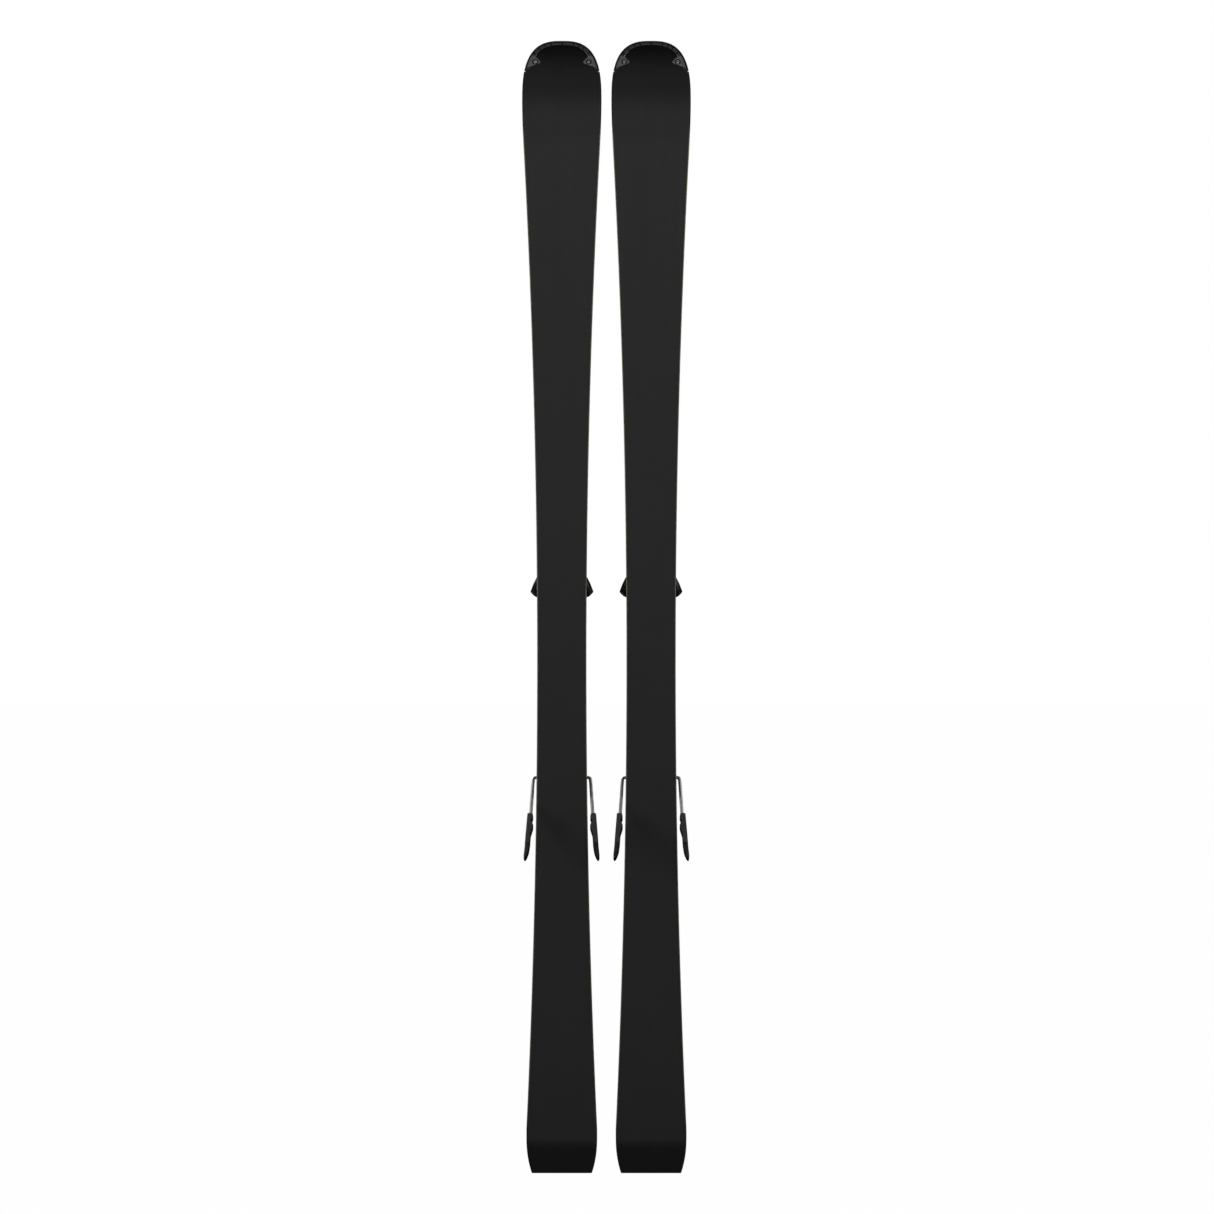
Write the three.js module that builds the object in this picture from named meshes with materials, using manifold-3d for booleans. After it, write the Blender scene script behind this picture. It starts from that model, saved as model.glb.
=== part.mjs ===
// A pair of alpine skis with bindings, standing side by side with their tips up.
// Millimetres. X runs across the pair and Z up along the skis. Y runs through their thickness:
// the running bases face -Y and the bindings stand on the +Y side.
// The origin is at the foot of the pair, midway between the skis, level with the middle of the bases.
import * as THREE from "three";
import { mergeVertices } from "three/addons/utils/BufferGeometryUtils.js";
import Module from "manifold-3d";

const wasm = await Module();
wasm.setup();

// Ski, seen from below: half widths along Z.
const SPACING = 130.5;
const LENGTH = 1657.5;
const CURVE_TOP = LENGTH + 0.5;
const WAIST_Z = 750;
const WAIST_HALF = 36;
const FRONT_ARC = 14150;
const REAR_ARC = 14900;
const SHOVEL_Z = 1568;
const SHOVEL_HALF = 58.04;
const FRONT_ARC_END = 1505;
const TAIL_WIDE_Z = 54;
const TAIL_HALF = 51.7;
const TAIL_DROP = 7.8;
const TIP_POWER = 2.8;

// Ski, seen from the side.
const FLAT_HALF = 215;
const CAMBER = 4;
const TIP_BEND_Z = 1524;
const TIP_RADIUS = 234;
const TAIL_BEND_Z = 50;
const TAIL_STRAIGHT_Z = 35;
const TAIL_RADIUS = 60;
const MIDDLE_THICK = 13.5;
const SHOVEL_THICK = 5.2;
const TAIL_THICK = 7;

// Layers of the laminate.
const GAP = 0.3;
const BASE_THICK = 1.3;
const EDGE_WIDE = 2.1;
const EDGE_TALL = 2;
const SIDEWALL_WIDE = 5.3;
const SIDEWALL_BEVEL = 1.6;
const TOPSHEET_THICK = 1.1;
const RIM_BAND = 6.5;
const LUG_IN = 32;
const LUG_LOW_Z = 1612.6;
const LUG_HIGH_Z = 1622.3;
const EDGE_END_Z = 1611;
const TAIL_CAP_Z = 12;
const TAIL_LIP_Z = 1.5;
const CLEAR = 40;

// Binding: heights are measured from the base, places along Z.
const TOP = MIDDLE_THICK;
const RAIL_TOP = TOP + 7;
const RAIL_HALF = 30;
const TOE_PIVOT = { x: 24, z: 876 };
const WING_LOW = 35.4;
const WING_HIGH = 62;
const AFD_LOW = 27.1;
const AFD_TOP = 35.5;
const SPRING_BORE = 10.5;
const TOE_BORE_Y = 48.5;
const HEEL_BORE_Y = 62;
const HEEL_PIN = { y: 36, z: 512 };
const PIN_RADIUS = 3.5;
const EAR_RADIUS = 11;
const WING_PIN_RADIUS = 3;
const LEVER_PIN_RADIUS = 1.7;
const SPRING_OUTER = 9.8;
const SPRING_INNER = 7;
const SCREW_HEAD = 9.9;
const SCREW_SHANK = 5.5;
const LEVER_PIVOT = { y: 84, z: 508 };
const BRAKE_PIVOT = { y: 27.2, z: 578.5 };
const WIRE_RADIUS = 2.5;
const WIRE_STEPS = 84;
const PAD_HALF = 6.5;
const BRAKE_TILT = THREE.MathUtils.degToRad(38);
const PEDAL_HINGE = { y: 29, z: 642 };
const PEDAL_ANGLE = THREE.MathUtils.degToRad(22);
const LATCH_PIVOT = { y: 27.2, z: 464 };

const finish = (color, roughness, metalness = 0) => ({ color, roughness, metalness });
const FINISHES = {
  base: finish(0x141414, 0.55),
  steel: finish(0x8d8a80, 0.35, 1),
  sidewall: finish(0x1c1d1f, 0.5),
  core: finish(0xb08a5a, 0.7),
  topsheet: finish(0x1b1d20, 0.3),
  tip: finish(0x3a3b3d, 0.45),
  black: finish(0x17181a, 0.4),
  grey: finish(0x4a4c4f, 0.45),
  wire: finish(0xb4b6b8, 0.25, 1),
  accent: finish(0xb02a20, 0.4),
};

const clamp01 = (t) => Math.min(1, Math.max(0, t));
const ease = (t) => clamp01(t) ** 2 * (3 - 2 * clamp01(t));

// Distance of the edge from the ski's middle line.
function halfWidth(z) {
  if (z >= SHOVEL_Z) return tipHalfWidth(z, 0);
  if (z >= FRONT_ARC_END) {
    const start = WAIST_HALF + (FRONT_ARC_END - WAIST_Z) ** 2 / (2 * FRONT_ARC);
    const t = (SHOVEL_Z - z) / (SHOVEL_Z - FRONT_ARC_END);
    return SHOVEL_HALF - (SHOVEL_HALF - start) * t ** 1.7;
  }
  if (z >= WAIST_Z) return WAIST_HALF + (z - WAIST_Z) ** 2 / (2 * FRONT_ARC);
  if (z >= TAIL_WIDE_Z) return Math.min(TAIL_HALF, WAIST_HALF + (WAIST_Z - z) ** 2 / (2 * REAR_ARC));
  return TAIL_HALF - TAIL_DROP * ((TAIL_WIDE_Z - z) / TAIL_WIDE_Z) ** 2.3;
}

// The round tip is a superellipse, drawn in by an inset.
function tipHalfWidth(z, inset) {
  const height = CURVE_TOP - SHOVEL_Z - inset;
  const t = clamp01((z - SHOVEL_Z) / height);
  return (SHOVEL_HALF - inset) * (1 - t ** TIP_POWER) ** (1 / TIP_POWER);
}

const insetWidth = (z, inset) => (z >= SHOVEL_Z ? tipHalfWidth(z, inset) : halfWidth(z) - inset);

// Height of the running surface: flat under the binding, cambered, turned up at tip and tail.
function baseHeight(z) {
  const reach = (z > WAIST_Z ? TIP_BEND_Z - WAIST_Z : WAIST_Z - TAIL_BEND_Z) - FLAT_HALF;
  let y = -CAMBER * ease((Math.abs(z - WAIST_Z) - FLAT_HALF) / reach);
  if (z > TIP_BEND_Z) y += TIP_RADIUS - Math.sqrt(TIP_RADIUS ** 2 - (z - TIP_BEND_Z) ** 2);
  if (z < TAIL_BEND_Z) {
    const run = TAIL_BEND_Z - Math.max(z, TAIL_STRAIGHT_Z);
    const fall = Math.sqrt(TAIL_RADIUS ** 2 - run ** 2);
    y += TAIL_RADIUS - fall + (Math.max(0, TAIL_STRAIGHT_Z - z) * run) / fall;
  }
  return y;
}

// Height above the running surface of a point that is deep millimetres into the ski.
function depthAt(z, deep) {
  const slope = baseHeight(z + 0.5) - baseHeight(z - 0.5);
  return baseHeight(z) + deep * Math.hypot(1, slope);
}

function thickness(z) {
  const front = ease((z - WAIST_Z - FLAT_HALF) / 520);
  const rear = ease((WAIST_Z - FLAT_HALF - z) / 470);
  return MIDDLE_THICK - (MIDDLE_THICK - SHOVEL_THICK) * front - (MIDDLE_THICK - TAIL_THICK) * rear;
}

// Where the lofts have a section, from one place along the ski to another.
function sections(from, to) {
  const marks = [from, to, TAIL_STRAIGHT_Z, 42, TAIL_BEND_Z, 20, 78, 110, 1480, FRONT_ARC_END, TIP_BEND_Z];
  for (let z = 165; z < 1460; z += 72.5) marks.push(z);
  for (const z of [1546, SHOVEL_Z, 1584, 1600, 1614, 1625, 1634, 1641, 1646.5, 1651, 1654.5]) marks.push(z);
  marks.push(WAIST_Z - FLAT_HALF, WAIST_Z + FLAT_HALF);
  const inside = marks.filter((z) => z >= from && z <= to);
  return [...new Set(inside)].sort((a, b) => a - b);
}

function solidOf(geometry) {
  const bare = new THREE.BufferGeometry();
  const source = geometry.index ? geometry.toNonIndexed() : geometry;
  bare.setAttribute("position", source.getAttribute("position"));
  const merged = mergeVertices(bare, 1e-4);
  const vertProperties = merged.attributes.position.array;
  const triVerts = new Uint32Array(merged.index.array);
  return new wasm.Manifold(new wasm.Mesh({ numProp: 3, vertProperties, triVerts }));
}

function geometryOf(solid) {
  const mesh = solid.getMesh();
  const geometry = new THREE.BufferGeometry();
  geometry.setAttribute("position", new THREE.BufferAttribute(new Float32Array(mesh.vertProperties), 3));
  geometry.setIndex(new THREE.BufferAttribute(new Uint32Array(mesh.triVerts), 1));
  return geometry;
}

const cut = (solid, ...tools) => tools.reduce((left, tool) => left.subtract(tool), solid);
const join = (solid, ...others) => others.reduce((sum, other) => sum.add(other), solid);

// A solid through rectangular sections: across(z) and through(z) give its low and high sides.
function loft(from, to, across, through) {
  const places = sections(from, to);
  const points = [];
  const faces = [];
  places.forEach((z, i) => {
    const [left, right, leftTop = left, rightTop = right] = across(z);
    const [low, high] = through(z);
    points.push(left, low, z, right, low, z, rightTop, high, z, leftTop, high, z);
    if (i === 0) return;
    for (let side = 0; side < 4; side++) {
      const a = (i - 1) * 4 + side;
      const b = (i - 1) * 4 + ((side + 1) % 4);
      faces.push(a, b, b + 4, a, b + 4, a + 4);
    }
  });
  const end = (places.length - 1) * 4;
  faces.push(0, 2, 1, 0, 3, 2, end, end + 1, end + 2, end, end + 2, end + 3);
  const geometry = new THREE.BufferGeometry();
  geometry.setAttribute("position", new THREE.Float32BufferAttribute(points, 3));
  geometry.setIndex(faces);
  return solidOf(geometry);
}

function extruded(outline, depth, basis, shift) {
  const shape = new THREE.Shape(outline.map(([u, v]) => new THREE.Vector2(u, v)));
  const geometry = new THREE.ExtrudeGeometry(shape, { depth, bevelEnabled: false });
  geometry.applyMatrix4(new THREE.Matrix4().makeBasis(...basis));
  geometry.translate(...shift);
  return solidOf(geometry);
}

const [AXIS_X, AXIS_Y, AXIS_Z] = [0, 1, 2].map((i) => new THREE.Vector3().setComponent(i, 1));

// A plan outline of [x, z] points, extruded through the ski's thickness.
function plan(outline, low, high) {
  return extruded(outline, high - low, [AXIS_X, AXIS_Z, AXIS_Y.clone().negate()], [0, high, 0]);
}

// A side profile of [y, z] points, extruded across the ski.
function profile(outline, left, right) {
  return extruded(outline, right - left, [AXIS_Y, AXIS_Z, AXIS_X], [left, 0, 0]);
}

function block(x, y, z) {
  const geometry = new THREE.BoxGeometry(x[1] - x[0], y[1] - y[0], z[1] - z[0]);
  geometry.translate((x[0] + x[1]) / 2, (y[0] + y[1]) / 2, (z[0] + z[1]) / 2);
  return solidOf(geometry);
}

// A round bar between two points.
function bar(start, end, radius, sides = 20) {
  const from = new THREE.Vector3(...start);
  const along = new THREE.Vector3(...end).sub(from);
  const geometry = new THREE.CylinderGeometry(radius, radius, along.length(), sides);
  geometry.translate(0, along.length() / 2, 0);
  geometry.applyQuaternion(new THREE.Quaternion().setFromUnitVectors(AXIS_Y, along.normalize()));
  geometry.translate(...from.toArray());
  return solidOf(geometry);
}

// Points of an arc, with angles in degrees from the first axis towards the second.
function arc(centre, radius, from, to, steps = 6) {
  return Array.from({ length: steps + 1 }, (_, i) => {
    const angle = THREE.MathUtils.degToRad(from + ((to - from) * i) / steps);
    return [centre[0] + radius * Math.cos(angle), centre[1] + radius * Math.sin(angle)];
  });
}

// The inner line of the tip guard: lug, band round the tip, lug.
function guardInnerLine(gap) {
  const half = [[halfWidth(LUG_LOW_Z) + 6, LUG_LOW_Z - gap]];
  half.push([LUG_IN - gap, LUG_HIGH_Z - gap]);
  const inset = RIM_BAND + gap;
  for (let i = 0; i <= 8; i++) {
    const x = (LUG_IN - gap) * (1 - i / 8);
    const round = (1 - (x / (SHOVEL_HALF - inset)) ** TIP_POWER) ** (1 / TIP_POWER);
    half.push([x, SHOVEL_Z + (CURVE_TOP - SHOVEL_Z - inset) * round]);
  }
  const mirrored = half.slice(0, -1).reverse().map(([x, z]) => [-x, z]);
  return [...half, ...mirrored];
}

// Everything outside that line, which the laminate gives way to.
function guardSpace(gap) {
  const line = guardInnerLine(gap);
  const [side, low] = line[0];
  const [far, high] = [side + CLEAR, LENGTH + CLEAR];
  return plan([...line, [-far, low], [-far, high], [far, high], [far, low]], -CLEAR, 4 * CLEAR);
}

function laminate(from, across, through) {
  return cut(loft(from + GAP, LENGTH - 2, across, through), guardSpace(GAP));
}

function runningBase() {
  const inset = EDGE_WIDE + GAP;
  const across = (z) => [-insetWidth(z, inset), insetWidth(z, inset)];
  return laminate(TAIL_LIP_Z, across, (z) => [baseHeight(z), depthAt(z, BASE_THICK)]);
}

function steelEdge(side) {
  const across = (z) => ordered(side * insetWidth(z, EDGE_WIDE), side * insetWidth(z, 0));
  return loft(TAIL_LIP_Z + GAP, EDGE_END_Z, across, (z) => [baseHeight(z), depthAt(z, EDGE_TALL)]);
}

function sidewall(side) {
  const across = (z) => {
    const inner = side * insetWidth(z, SIDEWALL_WIDE);
    const outer = side * insetWidth(z, GAP);
    const bevel = side * insetWidth(z, GAP + SIDEWALL_BEVEL);
    return side > 0 ? [inner, outer, inner, bevel] : [outer, inner, bevel, inner];
  };
  const through = (z) => [depthAt(z, EDGE_TALL + GAP), depthAt(z, thickness(z) - TOPSHEET_THICK - GAP)];
  return loft(TAIL_CAP_Z + GAP, EDGE_END_Z, across, through);
}

function woodCore() {
  const inset = SIDEWALL_WIDE + GAP;
  const across = (z) => [-insetWidth(z, inset), insetWidth(z, inset)];
  const through = (z) => [depthAt(z, BASE_THICK + GAP), depthAt(z, thickness(z) - TOPSHEET_THICK - GAP)];
  return laminate(TAIL_CAP_Z, across, through);
}

function topsheet() {
  const across = (z) => [-insetWidth(z, SIDEWALL_BEVEL), insetWidth(z, SIDEWALL_BEVEL)];
  const through = (z) => [depthAt(z, thickness(z) - TOPSHEET_THICK), depthAt(z, thickness(z))];
  return laminate(TAIL_CAP_Z, across, through);
}

const ordered = (a, b) => [Math.min(a, b), Math.max(a, b)];

// The moulded guard wraps the rim of the tip, with a riveted lug on each side.
function tipGuard() {
  const across = (z) => [-insetWidth(z, 0), insetWidth(z, 0)];
  const through = (z) => [depthAt(z, -0.5), depthAt(z, thickness(z) + 0.6)];
  const slab = loft(SHOVEL_Z, LENGTH, across, through);
  return slab.intersect(guardSpace(0));
}

// The tail guard closes the tail with a thin lip and backs the base above it.
function tailGuard() {
  const across = (z) => [-insetWidth(z, 0), insetWidth(z, 0)];
  const lip = loft(0, TAIL_LIP_Z, across, (z) => [baseHeight(z), depthAt(z, thickness(z))]);
  const back = loft(0, TAIL_CAP_Z, across, (z) => [depthAt(z, EDGE_TALL + GAP), depthAt(z, thickness(z))]);
  return join(lip, back);
}

// Front rail with the raised foot of the slide plate.
function frontRail() {
  const outline = [
    [TOP + GAP, 804], [AFD_LOW - GAP, 811], [AFD_LOW - GAP, 847], [RAIL_TOP, 851],
    [RAIL_TOP, 955], [RAIL_TOP - 4, 964], [TOP + GAP, 964],
  ];
  return profile(outline, -RAIL_HALF, RAIL_HALF);
}

function rearRail() {
  const outline = [
    [TOP + GAP, 415], [RAIL_TOP - 4, 415], [RAIL_TOP, 424],
    [RAIL_TOP, 668], [RAIL_TOP - 4, 677], [TOP + GAP, 677],
  ];
  return profile(outline, -RAIL_HALF, RAIL_HALF);
}

// Toe housing: foot, spring body and cap, with the wings held between foot and cap.
function toeHousing() {
  const low = RAIL_TOP + GAP;
  const foot = profile([[low, 864], [WING_LOW - GAP, 867], [WING_LOW - GAP, 938], [low, 948]], -31, 31);
  const body = block([-14, 14], [WING_LOW - 1, WING_HIGH + 1], [868, 940]);
  const bosses = [-1, 1].map((side) => {
    const x = side * TOE_PIVOT.x;
    return bar([x, WING_LOW - 1, TOE_PIVOT.z], [x, WING_HIGH + 1, TOE_PIVOT.z], WING_PIN_RADIUS, 12);
  });
  const crown = [
    [WING_HIGH + GAP, 862], [76, 862], [82, 872], [82.5, 890], [80, 915],
    [72, 936], [WING_HIGH + GAP, 946],
  ];
  const cap = profile(crown, -33, 33).intersect(plan(toeCapOutline(), 50, 95));
  const bore = bar([0, TOE_BORE_Y, 884], [0, TOE_BORE_Y, 950], SPRING_BORE);
  const window = block([-4, 4], [77.5, 90], [892, 914]);
  return cut(join(foot, body, ...bosses, cap), bore, window);
}

function toeCapOutline() {
  const right = [[33, 862], [33, 880], [30, 905], [22, 930], [13, 946]];
  return [...right, ...right.slice().reverse().map(([x, z]) => [-x, z])];
}

// One wing: a boss round its pivot and an arm that reaches out past the ski and round the boot's toe.
function toeWing(side) {
  const { x, z } = TOE_PIVOT;
  const outline = [
    [36.6, 872.5], [46.2, 850.6], [45.1, 849], [42.7, 846], [40, 843.3], [36.5, 842],
    [33.5, 843], [31, 849], [26.5, 858], [20.5, 868.5],
    ...arc([x, z], 7.6, 215, 20, 8).filter(([u]) => u > 16),
  ];
  const wing = plan(outline.map(([u, v]) => [side * u, v]), WING_LOW, WING_HIGH);
  const lip = [[36, 846], [31, 849], [26.5, 858], [23, 864], [17, 859], [25, 846]];
  const lipSolid = plan(lip.map(([u, v]) => [side * u, v]), WING_HIGH - 7, WING_HIGH);
  const hole = bar([side * x, WING_LOW - 5, z], [side * x, WING_HIGH + 5, z], WING_PIN_RADIUS + GAP, 12);
  return cut(join(wing, lipSolid), hole);
}

// A coil spring, as the tube that it fills.
function springTube(y, from, to) {
  const hollow = bar([0, y, from - 5], [0, y, to + 5], SPRING_INNER);
  return cut(bar([0, y, from], [0, y, to], SPRING_OUTER), hollow);
}

const toeSpring = () => springTube(TOE_BORE_Y, 885, 925);
const heelSpring = () => springTube(HEEL_BORE_Y, 500, 539);

// A slotted adjusting screw whose head closes a spring bore; out is +1 or -1 along Z.
function adjustingScrew(y, inner, head, out) {
  const end = head + out * 10;
  const shank = bar([0, y, inner], [0, y, head], SCREW_SHANK, 16);
  const cap = bar([0, y, head - out * 2], [0, y, end], SCREW_HEAD, 24);
  const slot = block([-7.5, 7.5], [y - 1.2, y + 1.2], ordered(end - out * 3.5, end + out));
  return cut(join(shank, cap), slot);
}

const indicator = (low, high, from, to) => block([-3.5, 3.5], [low, high], [from, to]);

function afdPlate() {
  const outline = [
    [-28, 818], [-25, 815], [25, 815], [28, 818], [28, 840], [25, 843], [-25, 843], [-28, 840],
  ];
  return plan(outline, AFD_LOW, AFD_TOP);
}

// Heel carriage: sled on the rail, ears for the heel pin and two bearings for the brake wire.
function heelCarriage() {
  const low = RAIL_TOP + GAP;
  const sled = block([-29, 29], [low, 24], [452, 650]);
  const { y, z } = HEEL_PIN;
  const foot = [[23, z + EAR_RADIUS], [23, z - EAR_RADIUS]];
  const earLine = [...arc([y, z], EAR_RADIUS, -90, 90, 8), ...foot];
  const ears = [-1, 1].map((side) => profile(earLine, ...ordered(side * 25.6, side * 29.6)));
  const pinHole = bar([-40, y, z], [40, y, z], PIN_RADIUS + GAP, 16);
  const bearings = [-1, 1].map((side) => block(ordered(side * 20, side * 29), [23, 31.2], [570, 587]));
  const wireHole = bar([-40, BRAKE_PIVOT.y, BRAKE_PIVOT.z], [40, BRAKE_PIVOT.y, BRAKE_PIVOT.z], 3, 12);
  const hingeBlock = block([-12, 12], [23, PEDAL_HINGE.y + 3.5], [637, 650]);
  const hingeGap = block([-8, 8], [24, 50], [630, 660]);
  const latchGap = block([-11, 11], [low - 1, 30], [445, 459]);
  const solid = join(sled, ...ears, ...bearings, cut(hingeBlock, hingeGap));
  return cut(solid, pinHole, wireHole, latchGap);
}

const heelPin = () => bar([-29.4, HEEL_PIN.y, HEEL_PIN.z], [29.4, HEEL_PIN.y, HEEL_PIN.z], PIN_RADIUS, 16);

// Heel housing: narrow body round the pin and a wide cup with its hold-down ledge over the boot's heel.
function heelHousing() {
  const { y, z } = HEEL_PIN;
  const body = [
    ...arc([y, z], 10.5, 110, 270, 8), [44, 492], [60, 485], [74, 485], [80, 496], [94, 519],
    [94, 548], [76, 556], [40, 556], [36, 548], [31, 528],
  ];
  const cup = [[46, 534], [40, 556], [64, 556], [64, 567], [76, 567], [90, 554], [94, 536], [70, 526]];
  const solid = join(profile(body, -25.2, 25.2), profile(cup, -33, 33));
  const pinHole = bar([-40, y, z], [40, y, z], PIN_RADIUS + GAP, 16);
  const bore = bar([0, HEEL_BORE_Y, 470], [0, HEEL_BORE_Y, 541], SPRING_BORE);
  const window = block([-4, 4], [90, 99], [523, 545]);
  const lever = LEVER_PIVOT;
  const leverHole = bar([-40, lever.y, lever.z], [40, lever.y, lever.z], LEVER_PIN_RADIUS + GAP, 12);
  return cut(solid, pinHole, bore, window, leverHole);
}

// Opening lever: two cheeks on the housing's sides and a tongue that rises behind them.
function heelLever() {
  const { y, z } = LEVER_PIVOT;
  const cheekLine = [...arc([y, z], 8.5, 180, 20, 8), [108, 492], [104, 478], [80, 499]];
  const cheeks = [-1, 1].map((side) => profile(cheekLine, ...ordered(side * 25.5, side * 30)));
  const tongue = profile([[97.5, 508], [128, 480], [131, 470], [124, 466], [96, 490]], -30, 30);
  const pin = bar([-29, y, z], [29, y, z], LEVER_PIN_RADIUS, 12);
  const notch = block([-13, 13], [112, 122], [455, 495]);
  return cut(join(cheeks[0], cheeks[1], tongue, pin), notch);
}

// The direction of one brake arm: tailward, down past the base, and a little outward.
function armPoint(side, along, out) {
  const { y, z } = BRAKE_PIVOT;
  return new THREE.Vector3(side * out, y - along * Math.tan(BRAKE_TILT), z - along);
}

// Points of an arm: [along, out] from the pivot.
const ARM_ROUTE = [
  [4.5, 42], [15.5, 42.9], [28, 44.05], [39.5, 45.2], [51.5, 46.4], [78, 47.4], [100, 48.3],
];

// One bent steel wire: arm, bearing, crank under the pedal, bearing, arm.
function brakeWire() {
  const { y, z } = BRAKE_PIVOT;
  const crank = [[6, 14], [11, 12.5], [13.5, 1.5], [17, 0], [24, 0], [31, 0], [36.5, 0]];
  const half = crank.map(([out, rise]) => new THREE.Vector3(out, y + rise, z + rise));
  half.push(...ARM_ROUTE.map(([along, out]) => armPoint(1, along, out)));
  const other = half.slice().reverse().map((p) => new THREE.Vector3(-p.x, p.y, p.z));
  const route = new THREE.CatmullRomCurve3([...other, ...half]);
  const sides = 8;
  const corners = Array.from({ length: sides }, (_, i) => {
    const angle = (2 * Math.PI * i) / sides;
    return new THREE.Vector2(WIRE_RADIUS * Math.cos(angle), WIRE_RADIUS * Math.sin(angle));
  });
  const options = { steps: WIRE_STEPS, extrudePath: route };
  return solidOf(new THREE.ExtrudeGeometry(new THREE.Shape(corners), options));
}

// Plan of a pad: [out, along] from the brake's pivot, as seen square to the base.
const PAD_OUTLINE = [
  [41.7, 56.5], [51, 56.5], [52.2, 67], [53.4, 80.5], [54.4, 100.5], [55.5, 115.5], [53.5, 119],
  [52, 118.5], [48, 113.5], [46.2, 102], [45.3, 88], [41.8, 75], [43.4, 68],
];

// A moulded pad on the end of one arm.
function brakePad(side) {
  const { y, z } = BRAKE_PIVOT;
  const [sin, cos] = [Math.sin(BRAKE_TILT), Math.cos(BRAKE_TILT)];
  const outline = PAD_OUTLINE.map(([out, along]) => [side * out, along / cos]);
  const basis = [AXIS_X, new THREE.Vector3(0, -sin, -cos), new THREE.Vector3(0, cos, -sin)];
  const shift = [0, y - PAD_HALF * cos, z + PAD_HALF * sin];
  const pad = extruded(outline, 2 * PAD_HALF, basis, shift);
  const socket = bar(armPoint(side, 45, 46.1).toArray(), armPoint(side, 101.5, 48.4).toArray(), 3.1, 12);
  return cut(pad, socket);
}

// The pedal under the boot's heel, hinged at its front and raised at its back.
function brakePedal() {
  const { y, z } = PEDAL_HINGE;
  const length = 58;
  const flat = [[-2, 7.5], [2, 7.5], [2, length - 4], [0.5, length], [-2, length - 2]];
  const [sin, cos] = [Math.sin(PEDAL_ANGLE), Math.cos(PEDAL_ANGLE)];
  const turn = ([up, back]) => [y + up * cos + back * sin, z + up * sin - back * cos];
  const tread = profile(flat.map(turn), -25, 25);
  const tongue = profile([[-2, -2], [2, -2], [2, 8], [-2, 8]].map(turn), -7.5, 7.5);
  const knuckle = bar([-7.5, y, z], [7.5, y, z], 3, 16);
  return join(tread, tongue, knuckle);
}

// The length latch: a lever let into the back of the carriage.
function lengthLatch() {
  const { y, z } = LATCH_PIVOT;
  const outline = [[24.4, 433], [27, 431], [29.8, 436], [30, 461], ...arc([y, z], 2.8, 0, 180, 6)];
  return profile(outline, -9.5, 9.5);
}

function makeMesh(name, solid, look) {
  const material = new THREE.MeshStandardMaterial(FINISHES[look]);
  const mesh = new THREE.Mesh(geometryOf(solid), material);
  mesh.name = name;
  return mesh;
}

// The pieces of one ski, each with its finish.
const PIECES = {
  running_base: [runningBase(), "base"],
  steel_edge_left: [steelEdge(-1), "steel"],
  steel_edge_right: [steelEdge(1), "steel"],
  sidewall_left: [sidewall(-1), "sidewall"],
  sidewall_right: [sidewall(1), "sidewall"],
  wood_core: [woodCore(), "core"],
  topsheet: [topsheet(), "topsheet"],
  tip_guard: [tipGuard(), "tip"],
  tail_guard: [tailGuard(), "tip"],
  front_rail: [frontRail(), "black"],
  rear_rail: [rearRail(), "black"],
  toe_housing: [toeHousing(), "black"],
  toe_wing_left: [toeWing(-1), "black"],
  toe_wing_right: [toeWing(1), "black"],
  toe_spring: [toeSpring(), "wire"],
  toe_screw: [adjustingScrew(TOE_BORE_Y, 927, 935, 1), "wire"],
  toe_indicator: [indicator(78, 81, 899, 907), "accent"],
  slide_plate: [afdPlate(), "grey"],
  heel_carriage: [heelCarriage(), "black"],
  heel_pin: [heelPin(), "wire"],
  heel_housing: [heelHousing(), "black"],
  heel_spring: [heelSpring(), "wire"],
  heel_screw: [adjustingScrew(HEEL_BORE_Y, 498, 490, -1), "wire"],
  heel_indicator: [indicator(90.5, 93.5, 530, 538), "accent"],
  heel_lever: [heelLever(), "grey"],
  brake_wire: [brakeWire(), "wire"],
  brake_pad_left: [brakePad(-1), "black"],
  brake_pad_right: [brakePad(1), "black"],
  brake_pedal: [brakePedal(), "black"],
  length_latch: [lengthLatch(), "grey"],
};

// Both skis are alike, so either can be worn on either foot.
const pair = new THREE.Group();
for (const [prefix, side] of [["left", -1], ["right", 1]]) {
  const ski = new THREE.Group();
  ski.position.x = (side * SPACING) / 2;
  for (const [name, [solid, look]] of Object.entries(PIECES)) {
    ski.add(makeMesh(`${prefix}_${name}`, solid, look));
  }
  pair.add(ski);
}

export default pair;
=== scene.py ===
"""A pair of alpine skis with bindings: shells, strips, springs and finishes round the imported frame."""
import math

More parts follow.
